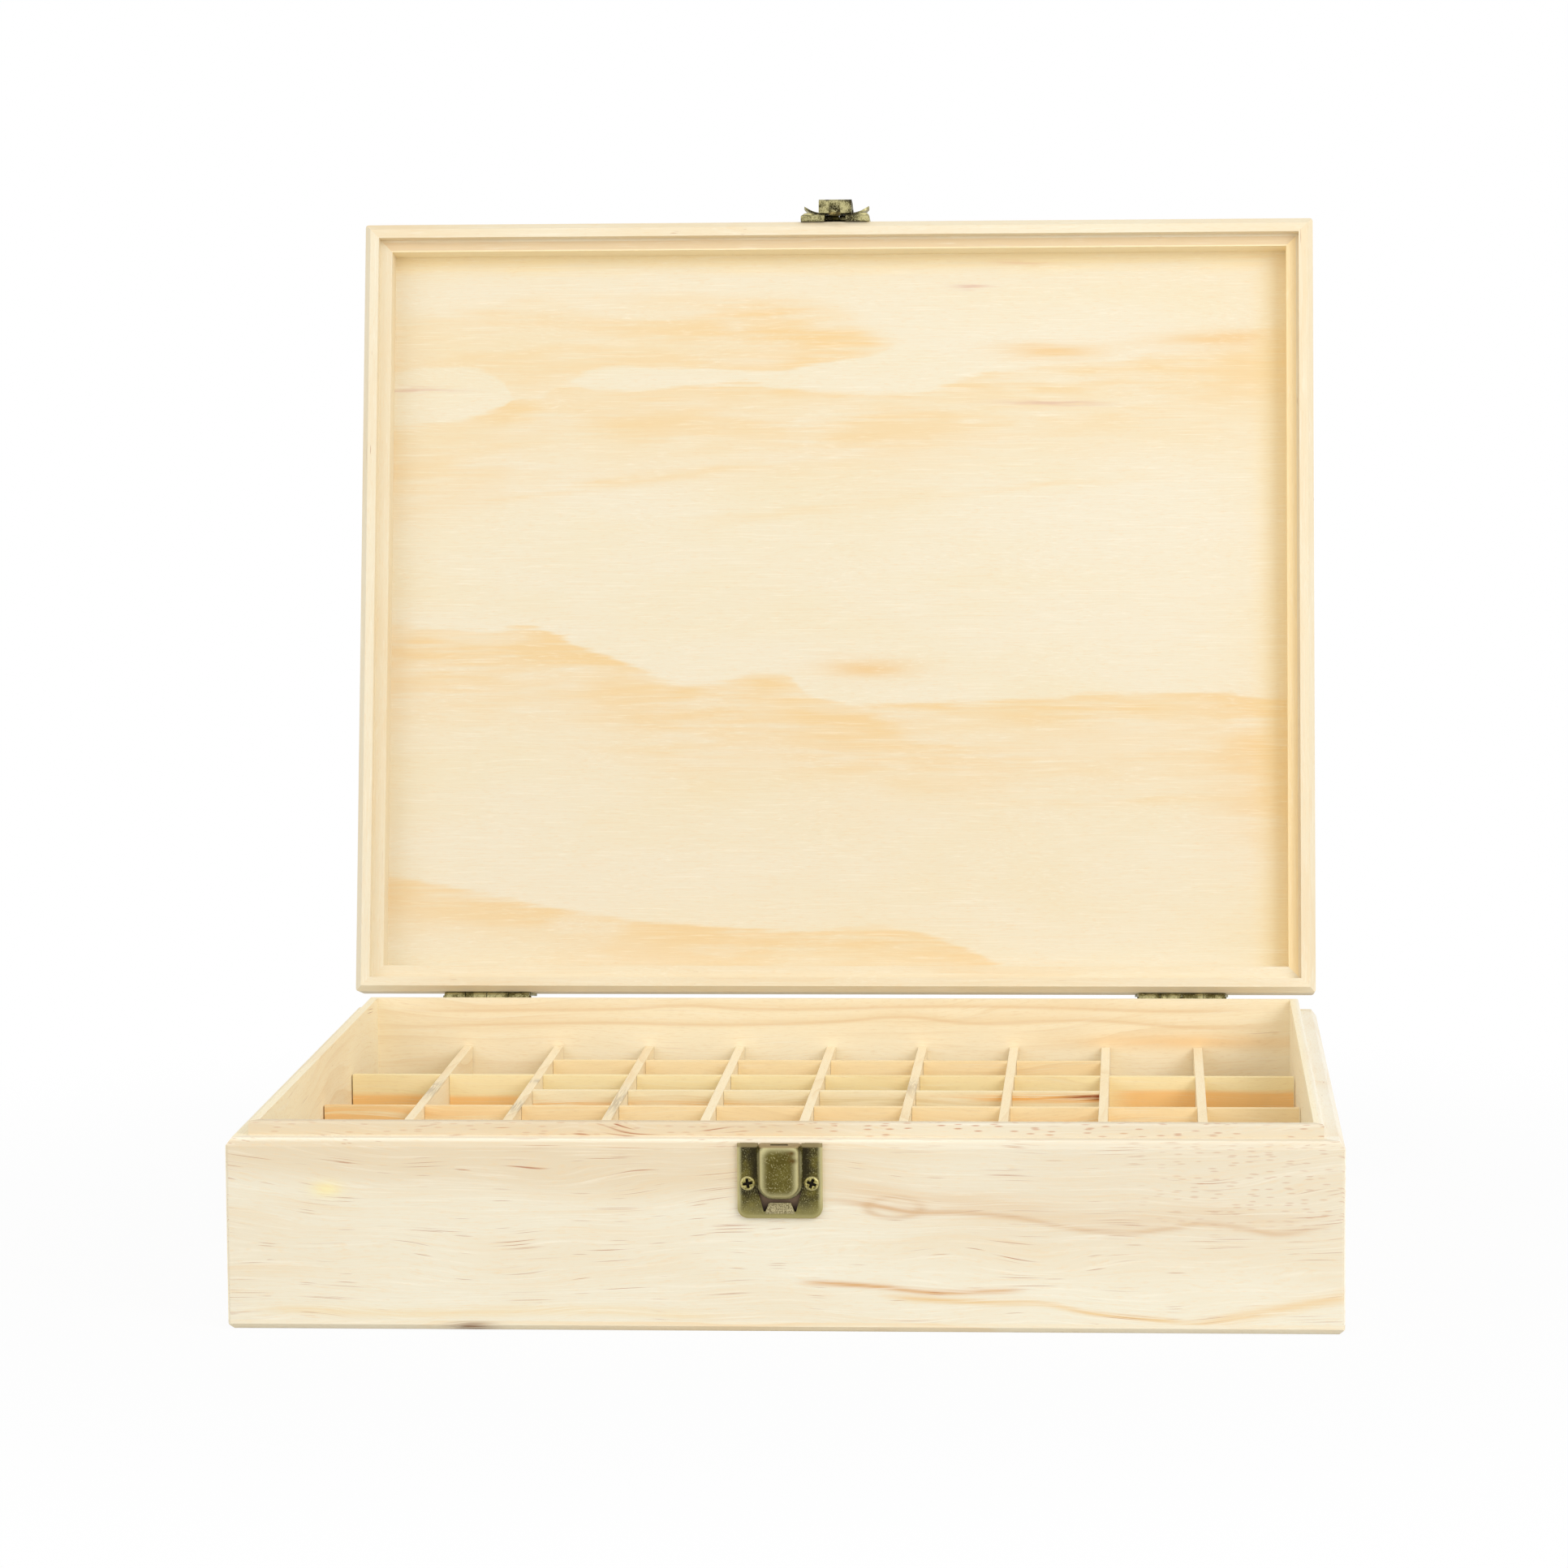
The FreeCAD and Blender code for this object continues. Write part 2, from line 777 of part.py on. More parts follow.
def build_nodes():
    """Make every piece where it lies with the lid open, under its own name."""
    hinges = {"left": -hinge_reach, "right": hinge_reach}
    tray = four_boards(tray_profile())
    lid = four_boards(lid_profile())
    tray_screws = []
    lid_screws = []
    for middle in hinges.values():
        for x in leaf_screw_columns(middle):
            tray["back"] = tray["back"].cut(back_bore(x, leaf_screw_height(-1)))
            lid["back"] = lid["back"].cut(back_bore(x, leaf_screw_height(1)))
            tray_screws.append(back_screw(x, leaf_screw_height(-1)))
            lid_screws.append(back_screw(x, leaf_screw_height(1)))
    catch_screws = []
    hasp_screws = []
    for x in latch_screw_columns():
        tray["front"] = tray["front"].cut(front_bore(x, catch_screw_height, catch_stand))
        lid["front"] = lid["front"].cut(front_bore(x, hasp_screw_height, hasp_stand))
        catch_screws.append(front_screw(x, catch_screw_height, catch_stand))
        hasp_screws.append(front_screw(x, hasp_screw_height, hasp_stand))

    fixed = {"tray_" + side + "_wall": piece for side, piece in tray.items()}
    fixed["tray_bottom"] = panel(0, panel_thickness, 0)
    fixed["hinge_tray_screws"] = Part.makeCompound(tray_screws)
    fixed["catch_plate"] = catch_plate()
    fixed["catch_housing"] = catch_housing()
    fixed["catch_screws"] = Part.makeCompound(catch_screws)
    for column in range(1, column_count):
        fixed["cross_divider_" + str(column)] = cross_divider(column)
    for row in range(1, row_count):
        kind = "short_divider_" if is_short(row) else "full_divider_"
        fixed[kind + str((row + 1) // 2)] = long_divider(row)

    swung = {"lid_" + side + "_wall": piece for side, piece in lid.items()}
    swung["lid_panel"] = panel(lid_ceiling, lid_top, lid_top)
    swung["hinge_lid_screws"] = Part.makeCompound(lid_screws)
    swung["hasp_plate"] = hasp_plate()
    swung["hasp_screws"] = Part.makeCompound(hasp_screws)
    swung["hasp_pin"] = hasp_pin()
    swung["hasp_spring"] = hasp_spring()
    swung["hasp_lever"] = hasp_lever()

    for side, middle in hinges.items():
        fixed["hinge_tray_leaf_" + side] = tray_leaf(middle)
        fixed["hinge_pin_" + side] = hinge_pin(middle)
        swung["hinge_lid_leaf_" + side] = hinge_leaf(middle, 0, 1)
    for piece in swung.values():
        open_lid(piece)
    return {**fixed, **swung}


os.makedirs("parts", exist_ok=True)
for node, shape in build_nodes().items():
    shape.exportStep("parts/" + node + ".step")
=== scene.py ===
import json
import math

import bpy
import numpy as np
from bpy.props import FloatProperty, FloatVectorProperty, PointerProperty
from mathutils import Matrix, Vector


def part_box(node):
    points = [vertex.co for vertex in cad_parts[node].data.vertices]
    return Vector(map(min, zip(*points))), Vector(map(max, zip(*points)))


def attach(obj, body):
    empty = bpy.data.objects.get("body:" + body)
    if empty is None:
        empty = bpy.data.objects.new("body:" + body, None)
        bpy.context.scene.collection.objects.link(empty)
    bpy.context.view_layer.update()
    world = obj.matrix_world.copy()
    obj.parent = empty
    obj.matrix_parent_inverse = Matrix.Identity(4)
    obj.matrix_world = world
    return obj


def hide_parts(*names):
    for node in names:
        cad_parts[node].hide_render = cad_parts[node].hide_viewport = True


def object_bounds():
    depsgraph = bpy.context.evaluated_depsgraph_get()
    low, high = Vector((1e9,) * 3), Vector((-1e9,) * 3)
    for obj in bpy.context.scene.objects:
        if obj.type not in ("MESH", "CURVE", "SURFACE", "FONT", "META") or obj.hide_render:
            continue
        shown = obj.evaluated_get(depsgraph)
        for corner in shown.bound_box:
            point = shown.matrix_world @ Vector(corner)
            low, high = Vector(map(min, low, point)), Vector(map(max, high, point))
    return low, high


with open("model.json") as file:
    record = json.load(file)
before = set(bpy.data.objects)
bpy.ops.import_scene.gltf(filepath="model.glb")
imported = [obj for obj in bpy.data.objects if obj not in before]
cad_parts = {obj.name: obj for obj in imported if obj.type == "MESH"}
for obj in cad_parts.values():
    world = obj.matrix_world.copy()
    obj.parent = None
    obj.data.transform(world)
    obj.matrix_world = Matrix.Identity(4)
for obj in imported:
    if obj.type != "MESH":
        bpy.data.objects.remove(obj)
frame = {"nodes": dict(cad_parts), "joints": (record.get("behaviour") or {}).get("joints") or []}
cad_low, cad_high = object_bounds()

bl_info = {
    "name": "Art Supply Box Looks",
    "version": (1, 0, 0),
    "blender": (4, 5, 0),
    "location": "View3D > Sidebar > Art Box",
    "description": "Dresses the packed pine art supply box with wood, bronze, screws and a pale stage",
    "category": "Object",
}

MM = 0.001

# Sizes of the pine's features along and across the grain, in millimetres.
WANDER_SIZE = (150.0, 34.0, 34.0)
PATCH_SIZE = (95.0, 26.0, 26.0)
FIBRE_SIZE = (26.0, 0.6, 0.6)
TOOTH_SIZE = (3.0, 0.35, 0.35)
CLUSTER_SIZE = (60.0, 8.0, 8.0)
FLECK_WIDTH = 0.36
# How far the fibres and the growth rings wander, in millimetres.
FIBRE_DRIFT = 34.0
RING_DRIFT = 62.0
# Sizes of the bronze's mottling and speckle, in millimetres.
CLOUD_SIZE = (4.2, 4.2, 4.2)
GRIT_SIZE = (0.38, 0.38, 0.38)
# Steps in millimetres along the axes that give every board and fitting its own part of a pattern.
BOARD_STEPS = (613.0, 171.0, 97.0)
FITTING_STEPS = (31.0, 17.0)
# Height of the tray's shoulder, and the level from which a divider's upper edge is stained, in millimetres.
SHOULDER = 59.0
UPPER_EDGE = 46.0
# Depth below a board's inner side that takes in the tray's lip or the lid's rebate, in millimetres.
LIP_REACH = 3.5

joints = {joint["name"]: joint for joint in frame["joints"]}
hinge_line = Vector(joints["lid_hinge"]["pos_m"])
lid_opening = math.radians(joints["lid_hinge"]["range_deg"][1])
lid_shut = (
    Matrix.Translation(hinge_line) @ Matrix.Rotation(lid_opening, 4, "X") @ Matrix.Translation(-hinge_line)
)
lid_open = lid_shut.inverted()
as_built = Matrix.Identity(4)
side_grain = Matrix.Rotation(math.radians(-90), 4, "Z")
front_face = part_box("tray_front_wall")[0].y
board_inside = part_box("tray_front_wall")[1].y - front_face


def srgb(red, green, blue):
    """Turn a display colour, 0 to 255, into linear light by the display's own curve."""
    share = np.array([red, green, blue]) / 255
    light = np.where(share <= 0.04045, share / 12.92, ((share + 0.055) / 1.055) ** 2.4)
    return tuple(float(part) for part in light)


# What every colour property says of its values.
COLOUR = {"subtype": "COLOR", "size": 3, "min": 0, "max": 1}


class PineLook(bpy.types.PropertyGroup):
    """Colours and grain of the pine boards, panels and dividers."""

    pale: FloatVectorProperty(
        name="Pale wood", description="Early wood of the front board", default=srgb(232, 225, 204), **COLOUR,
    )
    warm: FloatVectorProperty(
        name="Warm wood", description="Darker patches of the front board", default=srgb(227, 212, 183), **COLOUR,
    )
    # This tone is also painted on the right board's inner side as warm bounce light.
    inner_pale: FloatVectorProperty(
        name="Pale inside", description="Early wood of the left board, and the right board's inner side",
        default=srgb(254, 243, 212), **COLOUR,
    )
    inner_warm: FloatVectorProperty(
        name="Warm inside", description="Darker patches of the left board", default=srgb(251, 234, 198), **COLOUR,
    )
    band: FloatVectorProperty(
        name="Late wood", description="Tan bands of the growth rings", default=srgb(232, 198, 146), **COLOUR,
    )
    fleck: FloatVectorProperty(
        name="Resin flecks", description="Short brown dashes along the grain", default=srgb(166, 88, 46), **COLOUR,
    )
    ring_pitch: FloatProperty(
        name="Ring pitch", description="Distance between growth rings on a board", unit="LENGTH",
        default=9.0 * MM, min=MM,
    )
    fleck_length: FloatProperty(
        name="Fleck length", description="Length of the longer resin flecks", unit="LENGTH",
        default=30.0 * MM, min=MM,
    )


class BronzeLook(bpy.types.PropertyGroup):
    """Colours of the antique bronze of latch, hinges and screws."""

    dark: FloatVectorProperty(
        name="Dark patina", description="Colour of the flat faces", default=srgb(52, 46, 24), **COLOUR,
    )
    olive: FloatVectorProperty(
        name="Olive brass", description="Mottling of the faces and the screws", default=srgb(104, 95, 42), **COLOUR,
    )
    worn: FloatVectorProperty(
        name="Worn edge", description="Bright metal of edges and specks", default=srgb(204, 196, 146), **COLOUR,
    )
    rust: FloatVectorProperty(
        name="Rust spot", description="Small orange-brown spots on the housing", default=srgb(88, 64, 12), **COLOUR,
    )
    edge_width: FloatProperty(
        name="Edge width", description="How far the wear reaches in from an edge", unit="LENGTH", default=1.7 * MM,
    )


class StageLook(bpy.types.PropertyGroup):
    """Camera and light."""

    place: FloatVectorProperty(
        name="Camera place", description="Where the camera stands", subtype="XYZ", unit="LENGTH", size=3,
        default=(0.10801, -1.7490, 0.33622),
    )
    yaw: FloatProperty(
        name="Camera yaw", description="Turn from straight ahead towards the right", subtype="ANGLE",
        default=math.radians(-3.779),
    )
    pitch: FloatProperty(
        name="Camera pitch", description="How far the camera looks down", subtype="ANGLE", default=math.radians(5.971),
    )
    roll: FloatProperty(
        name="Camera roll", description="Turn about the line of sight", subtype="ANGLE", default=math.radians(-0.441),
    )
    lens: FloatProperty(
        name="Lens", description="Focal length on a 36 mm sensor", unit="CAMERA", default=124.04,
    )
    ambient: FloatProperty(
        name="Ambient", description="Strength of the soft white light from all round", default=0.88,
    )
    key_power: FloatProperty(
        name="Key lamp", description="Power of the soft lamp at the front on the right", unit="POWER", default=13.0,
    )
    fill_power: FloatProperty(
        name="Fill lamp", description="Power of the soft lamp at the front on the left", unit="POWER", default=4.0,
    )


class Value:
    """A shader socket. Python's operators on a number socket add Math nodes."""

    def __init__(self, shader, socket):
        self.shader = shader
        self.socket = socket

    def other(self, name):
        """Another output of the same node."""
        return Value(self.shader, self.socket.node.outputs[name])

    def math(self, operation, first, second=0.0):
        return self.shader.node("ShaderNodeMath", {"operation": operation}, {0: first, 1: second})

    def __add__(self, second):
        return self.math("ADD", self, second)

    def __sub__(self, second):
        return self.math("SUBTRACT", self, second)

    def __rsub__(self, first):
        return self.math("SUBTRACT", first, self)

    def __mul__(self, second):
        return self.math("MULTIPLY", self, second)

    def __truediv__(self, second):
        return self.math("DIVIDE", self, second)

    def __rtruediv__(self, first):
        return self.math("DIVIDE", first, self)

    def __pow__(self, second):
        return self.math("POWER", self, second)

    def __abs__(self):
        return self.math("ABSOLUTE", self)

    __radd__ = __add__
    __rmul__ = __mul__

    def least(self, second):
        return self.math("MINIMUM", self, second)

    def most(self, second):
        return self.math("MAXIMUM", self, second)

    def fraction(self):
        return self.math("FRACT", self)

    def bell(self):
        """One at zero, falling off on both sides: e to the power of minus the square."""
        return self.math("EXPONENT", self * self * -1.0)


class Shader:
    """The nodes of a new material or of the world, written as expressions. Lengths are in millimetres."""

    def __init__(self, owner):
        self.owner = owner
        self.owner.use_nodes = True
        self.tree = self.owner.node_tree
        self.tree.nodes.clear()

    def node(self, kind, settings, sockets, output=0):
        """Add a node, set its settings, then give its sockets their values or links."""
        made = self.tree.nodes.new(kind)
        for key, value in settings.items():
            if key == "curve":
                self.draw(made.mapping, value)
            else:
                setattr(made, key, value)
        for key, value in sockets.items():
            if isinstance(value, Value):
                self.tree.links.new(value.socket, made.inputs[key])
            else:
                made.inputs[key].default_value = value
        return Value(self, made.outputs[output])

    def draw(self, mapping, places):
        """Lay a Float Curve through the given places."""
        points = mapping.curves[0].points
        for _ in range(len(places) - len(points)):
            points.new(0.5, 0.5)
        for point, place in zip(points, places):
            point.location = place
        mapping.update()

    def spot(self, turn):
        """Object coordinates in millimetres, turned so that the grain runs along X."""
        sockets = {"Location": turn.translation / MM, "Rotation": turn.to_euler(), "Scale": (1 / MM, 1 / MM, 1 / MM)}
        sockets["Vector"] = self.node("ShaderNodeTexCoord", {}, {}, "Object")
        return self.node("ShaderNodeMapping", {"vector_type": "POINT"}, sockets)

    def split(self, vector):
        first = self.node("ShaderNodeSeparateXYZ", {}, {"Vector": vector})
        return first, first.other("Y"), first.other("Z")

    def join(self, x, y, z):
        return self.node("ShaderNodeCombineXYZ", {}, {"X": x, "Y": y, "Z": z})

    def stretched(self, vector, lengths):
        """Divide a vector by three lengths, so that one unit is one feature."""
        return self.node("ShaderNodeVectorMath", {"operation": "DIVIDE"}, {0: vector, 1: lengths})

    def noise(self, vector, lengths, detail=2.0):
        place = self.stretched(vector, lengths)
        return self.node("ShaderNodeTexNoise", {}, {"Vector": place, "Scale": 1.0, "Detail": detail})

    def smooth(self, value, low, high):
        """Rise smoothly from 0 at low to 1 at high."""
        sockets = {"Value": value, "From Min": low, "From Max": high}
        return self.node("ShaderNodeMapRange", {"interpolation_type": "SMOOTHSTEP"}, sockets)

    def blend(self, factor, first, second):
        """Mix two colours. A constant colour is three numbers."""
        sockets = {0: factor}
        for key, colour in ((6, first), (7, second)):
            sockets[key] = colour if isinstance(colour, Value) else (*colour, 1.0)
        return self.node("ShaderNodeMix", {"data_type": "RGBA"}, sockets, 2)

    def finish(self, colour, roughness, height=None, depth=0.1, strength=0.5, metal=0.0, shine=0.3):
        """Join colour, roughness and bump into the surface. Depth is the bump's height in millimetres."""
        sockets = {"Base Color": colour, "Roughness": roughness, "Metallic": metal, "Specular IOR Level": shine}
        if height is not None:
            sockets["Normal"] = self.node(
                "ShaderNodeBump", {}, {"Height": height, "Distance": depth * MM, "Strength": strength}
            )
        return self.show(self.node("ShaderNodeBsdfPrincipled", {}, sockets))

    def show(self, surface, kind="ShaderNodeOutputMaterial"):
        """Link a surface to an output of the given kind, and give back the nodes' owner."""
        output = self.tree.nodes.new(kind)
        self.tree.links.new(surface.socket, output.inputs["Surface"])
        return self.owner


def flecks(shader, spot, length, width, share, cells="3D"):
    """Short dashes along the grain: the middles of stretched random cells, kept in the given share of them."""
    rim, core, softness = 0.33, 0.1, 0.04
    place = shader.stretched(spot, (length, width, width))
    distance = shader.node("ShaderNodeTexVoronoi", {"voronoi_dimensions": cells}, {"Vector": place, "Scale": 1.0})
    chance = shader.node("ShaderNodeSeparateColor", {}, {"Color": distance.other("Color")})
    return shader.smooth(distance, rim, core) * shader.smooth(chance, 1.0 - share, 1.0 - share + softness)


def streak(x, across, middle, reach, width, slope=0.0, sag=0.0):
    """A soft streak: a bell along the grain times a bell across a sloping, sagging line."""
    along = (x - middle[0]) / reach
    line = across - middle[1] - (x - middle[0]) * slope - along * along * sag
    return along.bell() * (line / width).bell()


def pine(name, turn, seed, pale, warm, ring_share=0.45, fleck_share=0.1, marks=None, patchy=0.6):
    """Planed pine: warm patches on pale wood, wandering growth rings, fine fibres and resin flecks."""
    look = bpy.context.scene.box_pine
    band = tuple(look.band)
    gleam = srgb(252, 246, 230)
    dash_length = look.fleck_length / MM
    shader = Shader(bpy.data.materials.new(name))
    x, y, z = shader.split(shader.spot(turn))
    along, across, up = (axis + step * seed for axis, step in zip((x, y, z), BOARD_STEPS))
    seeded = shader.join(along, across, up)
    wander = shader.noise(seeded, WANDER_SIZE)
    patch = shader.noise(seeded, PATCH_SIZE)
    flow = shader.join(along, across, up + (wander - 0.5) * FIBRE_DRIFT)
    fibre = shader.noise(flow, FIBRE_SIZE, 3.0)
    tooth = shader.noise(flow, TOOTH_SIZE)
    rings = ((y * 0.8 + z + wander * RING_DRIFT) / (look.ring_pitch / MM)).fraction()
    ring = rings * rings * rings * (1.0 - shader.smooth(rings, 0.94, 1.0))
    ring = ring * shader.smooth(patch, 0.38, 0.66) * ring_share
    colour = shader.blend(shader.smooth(patch, 0.3, 0.75) * patchy, tuple(pale), tuple(warm))
    colour = shader.blend(ring, colour, band)
    if marks:
        colour = marks(shader, colour, x, y, z, wander, fibre)
    colour = shader.blend(shader.smooth(fibre, 0.52, 0.8) * 0.2, colour, band)
    colour = shader.blend(shader.smooth(fibre, 0.48, 0.2) * 0.3, colour, gleam)
    colour = shader.blend(shader.smooth(tooth, 0.5, 0.8) * 0.3, colour, band)
    cluster = shader.smooth(shader.noise(seeded, CLUSTER_SIZE, 1.0), 0.45, 0.62)
    long_dash = flecks(shader, flow, dash_length, FLECK_WIDTH, fleck_share) * cluster
    short_dash = flecks(shader, flow, dash_length * 0.4, FLECK_WIDTH, fleck_share * 0.25)
    dash = (long_dash + short_dash * 0.8).least(1.0) * shader.smooth(fibre, 0.25, 0.5)
    colour = shader.blend(dash * 0.8, colour, tuple(look.fleck))
    return shader.finish(colour, 0.56 + fibre * 0.16, fibre * 0.7 + tooth * 0.5, depth=0.08, strength=0.5)


def drawn(shader, x, across, places, width):
    """A thin streak along a drawn line, given as places in millimetres, that fades at both ends."""
    highest, fade = 100.0, 0.15
    start = places[0][0]
    length = places[-1][0] - start
    u = (x - start) / length
    curve = tuple(((place - start) / length, level / highest) for place, level in places)
    line = shader.node("ShaderNodeFloatCurve", {"curve": curve}, {"Value": u}) * highest
    ends = shader.smooth(u, 0.0, fade) * (1.0 - shader.smooth(u, 1.0 - fade, 1.0))
    return ((across - line) / width).bell() * ends


def front_marks(shader, colour, x, y, z, wander, fibre):
    """Marks of the front board.

    A tan upper zone, a sweeping late-wood line with a swirl, four lower lines, a flecked lip and right end,
    a painted highlight on the upward-facing shoulder under the lip, a yellow spot and a greyer right half.
    """
    wave = z + (wander - 0.5) * 5.0
    broken = 0.55 + shader.smooth(fibre, 0.3, 0.6) * 0.45

    def line(colour, across, places, width, share, tone):
        return shader.blend(drawn(shader, x, across, places, width) * broken * share, colour, tone)

    upper = shader.smooth(wave + x * 0.04, 36.0, 47.0) * (1.0 - shader.smooth(x, -10.0, 60.0))
    colour = shader.blend(upper * 0.6, colour, srgb(218, 196, 160))
    sweep = (
        (6, 41.5), (27, 39.2), (39, 37.2), (56, 36.9), (71, 35.6), (87, 32.5), (103, 30.9), (117, 32.5),
        (128, 34.1), (140, 32.5), (149, 30.9), (158, 31.9), (172, 35.8),
    )
    colour = line(colour, z - 3.2, sweep, 3.4, 0.5, srgb(218, 186, 146))
    colour = line(colour, z, sweep, 0.9, 0.75, srgb(204, 160, 112))
    swirl = (((x - 34.0) / 9.0) ** 2.0 + ((z - 38.5) / 3.4) ** 2.0) ** 0.5
    colour = shader.blend(((swirl - 0.9) / 0.22).bell() * broken * 0.6, colour, srgb(204, 168, 126))
    middle = ((2, 15.6), (18, 14.9), (30, 14.1), (45, 12.6), (60, 12.9), (76, 13.3))
    lower = ((26, 11.8), (41, 10.5), (64, 9.4), (79, 9.2), (94, 6.3), (110, 4.7), (128, 3.2))
    rising = ((116, 0.4), (125, 1.1), (137, 3.9), (149, 6.3), (160, 8.6), (176, 11.5))
    foot = ((-168, 7.0), (-120, 5.5), (-60, 6.5), (-10, 4.0))
    colour = line(colour, z, middle, 0.8, 0.85, srgb(206, 150, 84))
    colour = line(colour, z, lower, 0.9, 0.7, srgb(224, 182, 112))
    colour = line(colour, z - 1.2, rising, 1.9, 0.6, srgb(228, 190, 128))
    colour = line(colour, wave, foot, 1.6, 0.4, srgb(232, 202, 142))
    lip = shader.smooth(z, SHOULDER - 1.0, SHOULDER + 1.0) * (0.3 + shader.smooth(x, -20.0, 60.0) * 0.7)
    end = shader.smooth(x, 95.0, 130.0) * shader.smooth(z, 28.0, 40.0) * 0.6
    dash = flecks(shader, shader.join(x, y + z, 0.0), length=5.5, width=0.9, share=0.42, cells="2D") * lip.most(end)
    colour = shader.blend(dash * 0.85, colour, srgb(182, 104, 64))
    # Painted highlight: the shoulder under the lip is made paler to stand in for light falling from above.
    lit_shoulder = shader.smooth(z, SHOULDER - 1.4, SHOULDER - 0.2)
    lit_shoulder = lit_shoulder * (1.0 - shader.smooth(z, SHOULDER + 0.05, SHOULDER + 0.25))
    colour = shader.blend(lit_shoulder * 0.8, colour, srgb(249, 240, 217))
    spot = streak(x, z, (-139.0, 43.5), 4.5, 2.4)
    colour = shader.blend(spot * 0.6, colour, srgb(246, 232, 160))
    grey = shader.smooth(wave, 14.0, 34.0) * shader.smooth(x, 20.0, 90.0)
    return shader.blend(grey * 0.45, colour, srgb(220, 206, 180))


def back_marks(shader, colour, x, y, z, wander, fibre):
    """Marks of the back board: two wavy late-wood lines and an orange zone low on the right."""
    upper = (
        (-166, 58.6), (-110, 59.2), (-75, 59.6), (-50, 60.9), (-30, 59.7), (0, 59.9), (40, 60.8), (80, 60.3),
        (120, 59.2), (166, 60.5),
    )
    lower = (
        (-166, 52.8), (-120, 54.0), (-80, 54.7), (-40, 54.1), (0, 55.2), (25, 57.0), (50, 54.8), (90, 55.9),
        (130, 53.4), (166, 54.5),
    )
    for line in (upper, lower):
        colour = shader.blend(drawn(shader, x, z - 0.9, line, 1.4) * 0.35, colour, srgb(240, 214, 168))
        colour = shader.blend(drawn(shader, x, z, line, 0.6) * 0.45, colour, srgb(230, 194, 142))
    low = streak(x, z, (125.0, 48.5), 40.0, 2.6)
    return shader.blend(low * 0.6, colour, srgb(248, 202, 134))


def painted_inner_light(half, *layers):
    """Marks that give a board's inner side tones of its own: painted warm bounce light and painted warm shade.

    Half is half the box's size across the board, whose thickness runs along the turned Y. A layer is a tone, its
    reach below that side's surface, and the last stretch of the reach, over which it fades, in millimetres.
    """
    face = (half - board_inside) / MM

    def marks(shader, colour, x, y, z, wander, fibre):
        for tone, reach, fade in layers:
            colour = shader.blend(shader.smooth(abs(y), face + reach, face + reach - fade), colour, tuple(tone))
        return colour
    return marks


def yellow_marks(shader, colour, x, y, z, wander, fibre):
    """Marks of the yellow divider: orange below a wavy line towards both ends, greenish in its middle."""
    level = z + (wander - 0.5) * 7.0 + (fibre - 0.5) * 2.0 - shader.smooth(x, -10.0, 10.0) * 4.2
    low = shader.smooth(level, 39.8, 37.6) * shader.smooth(abs(x), 94.0, 108.0)
    colour = shader.blend(streak(x, z, (0.0, 42.0), 90.0, 3.0) * 0.3, colour, srgb(222, 200, 138))
    return shader.blend(low * 0.9, colour, srgb(255, 204, 130))


def stained(stains, level=0.0):
    """Marks made of soft streaks, each given as middle, reach, width, strength and colour, above a level."""
    def marks(shader, colour, x, y, z, wander, fibre):
        across = z if level else z + (wander - 0.5) * 4.0
        broken = shader.smooth(fibre, 0.3, 0.6) * shader.smooth(z, level - 0.5, level)
        for middle, reach, width, strength, stain in stains:
            colour = shader.blend(streak(x, across, middle, reach, width) * broken * strength, colour, stain)
        return colour
    return marks


def below_edge(shader, u, v, edge):
    """How far a place lies below an edge that is drawn over the panel's width."""
    return v - shader.node("ShaderNodeFloatCurve", {"curve": edge}, {"Value": u})


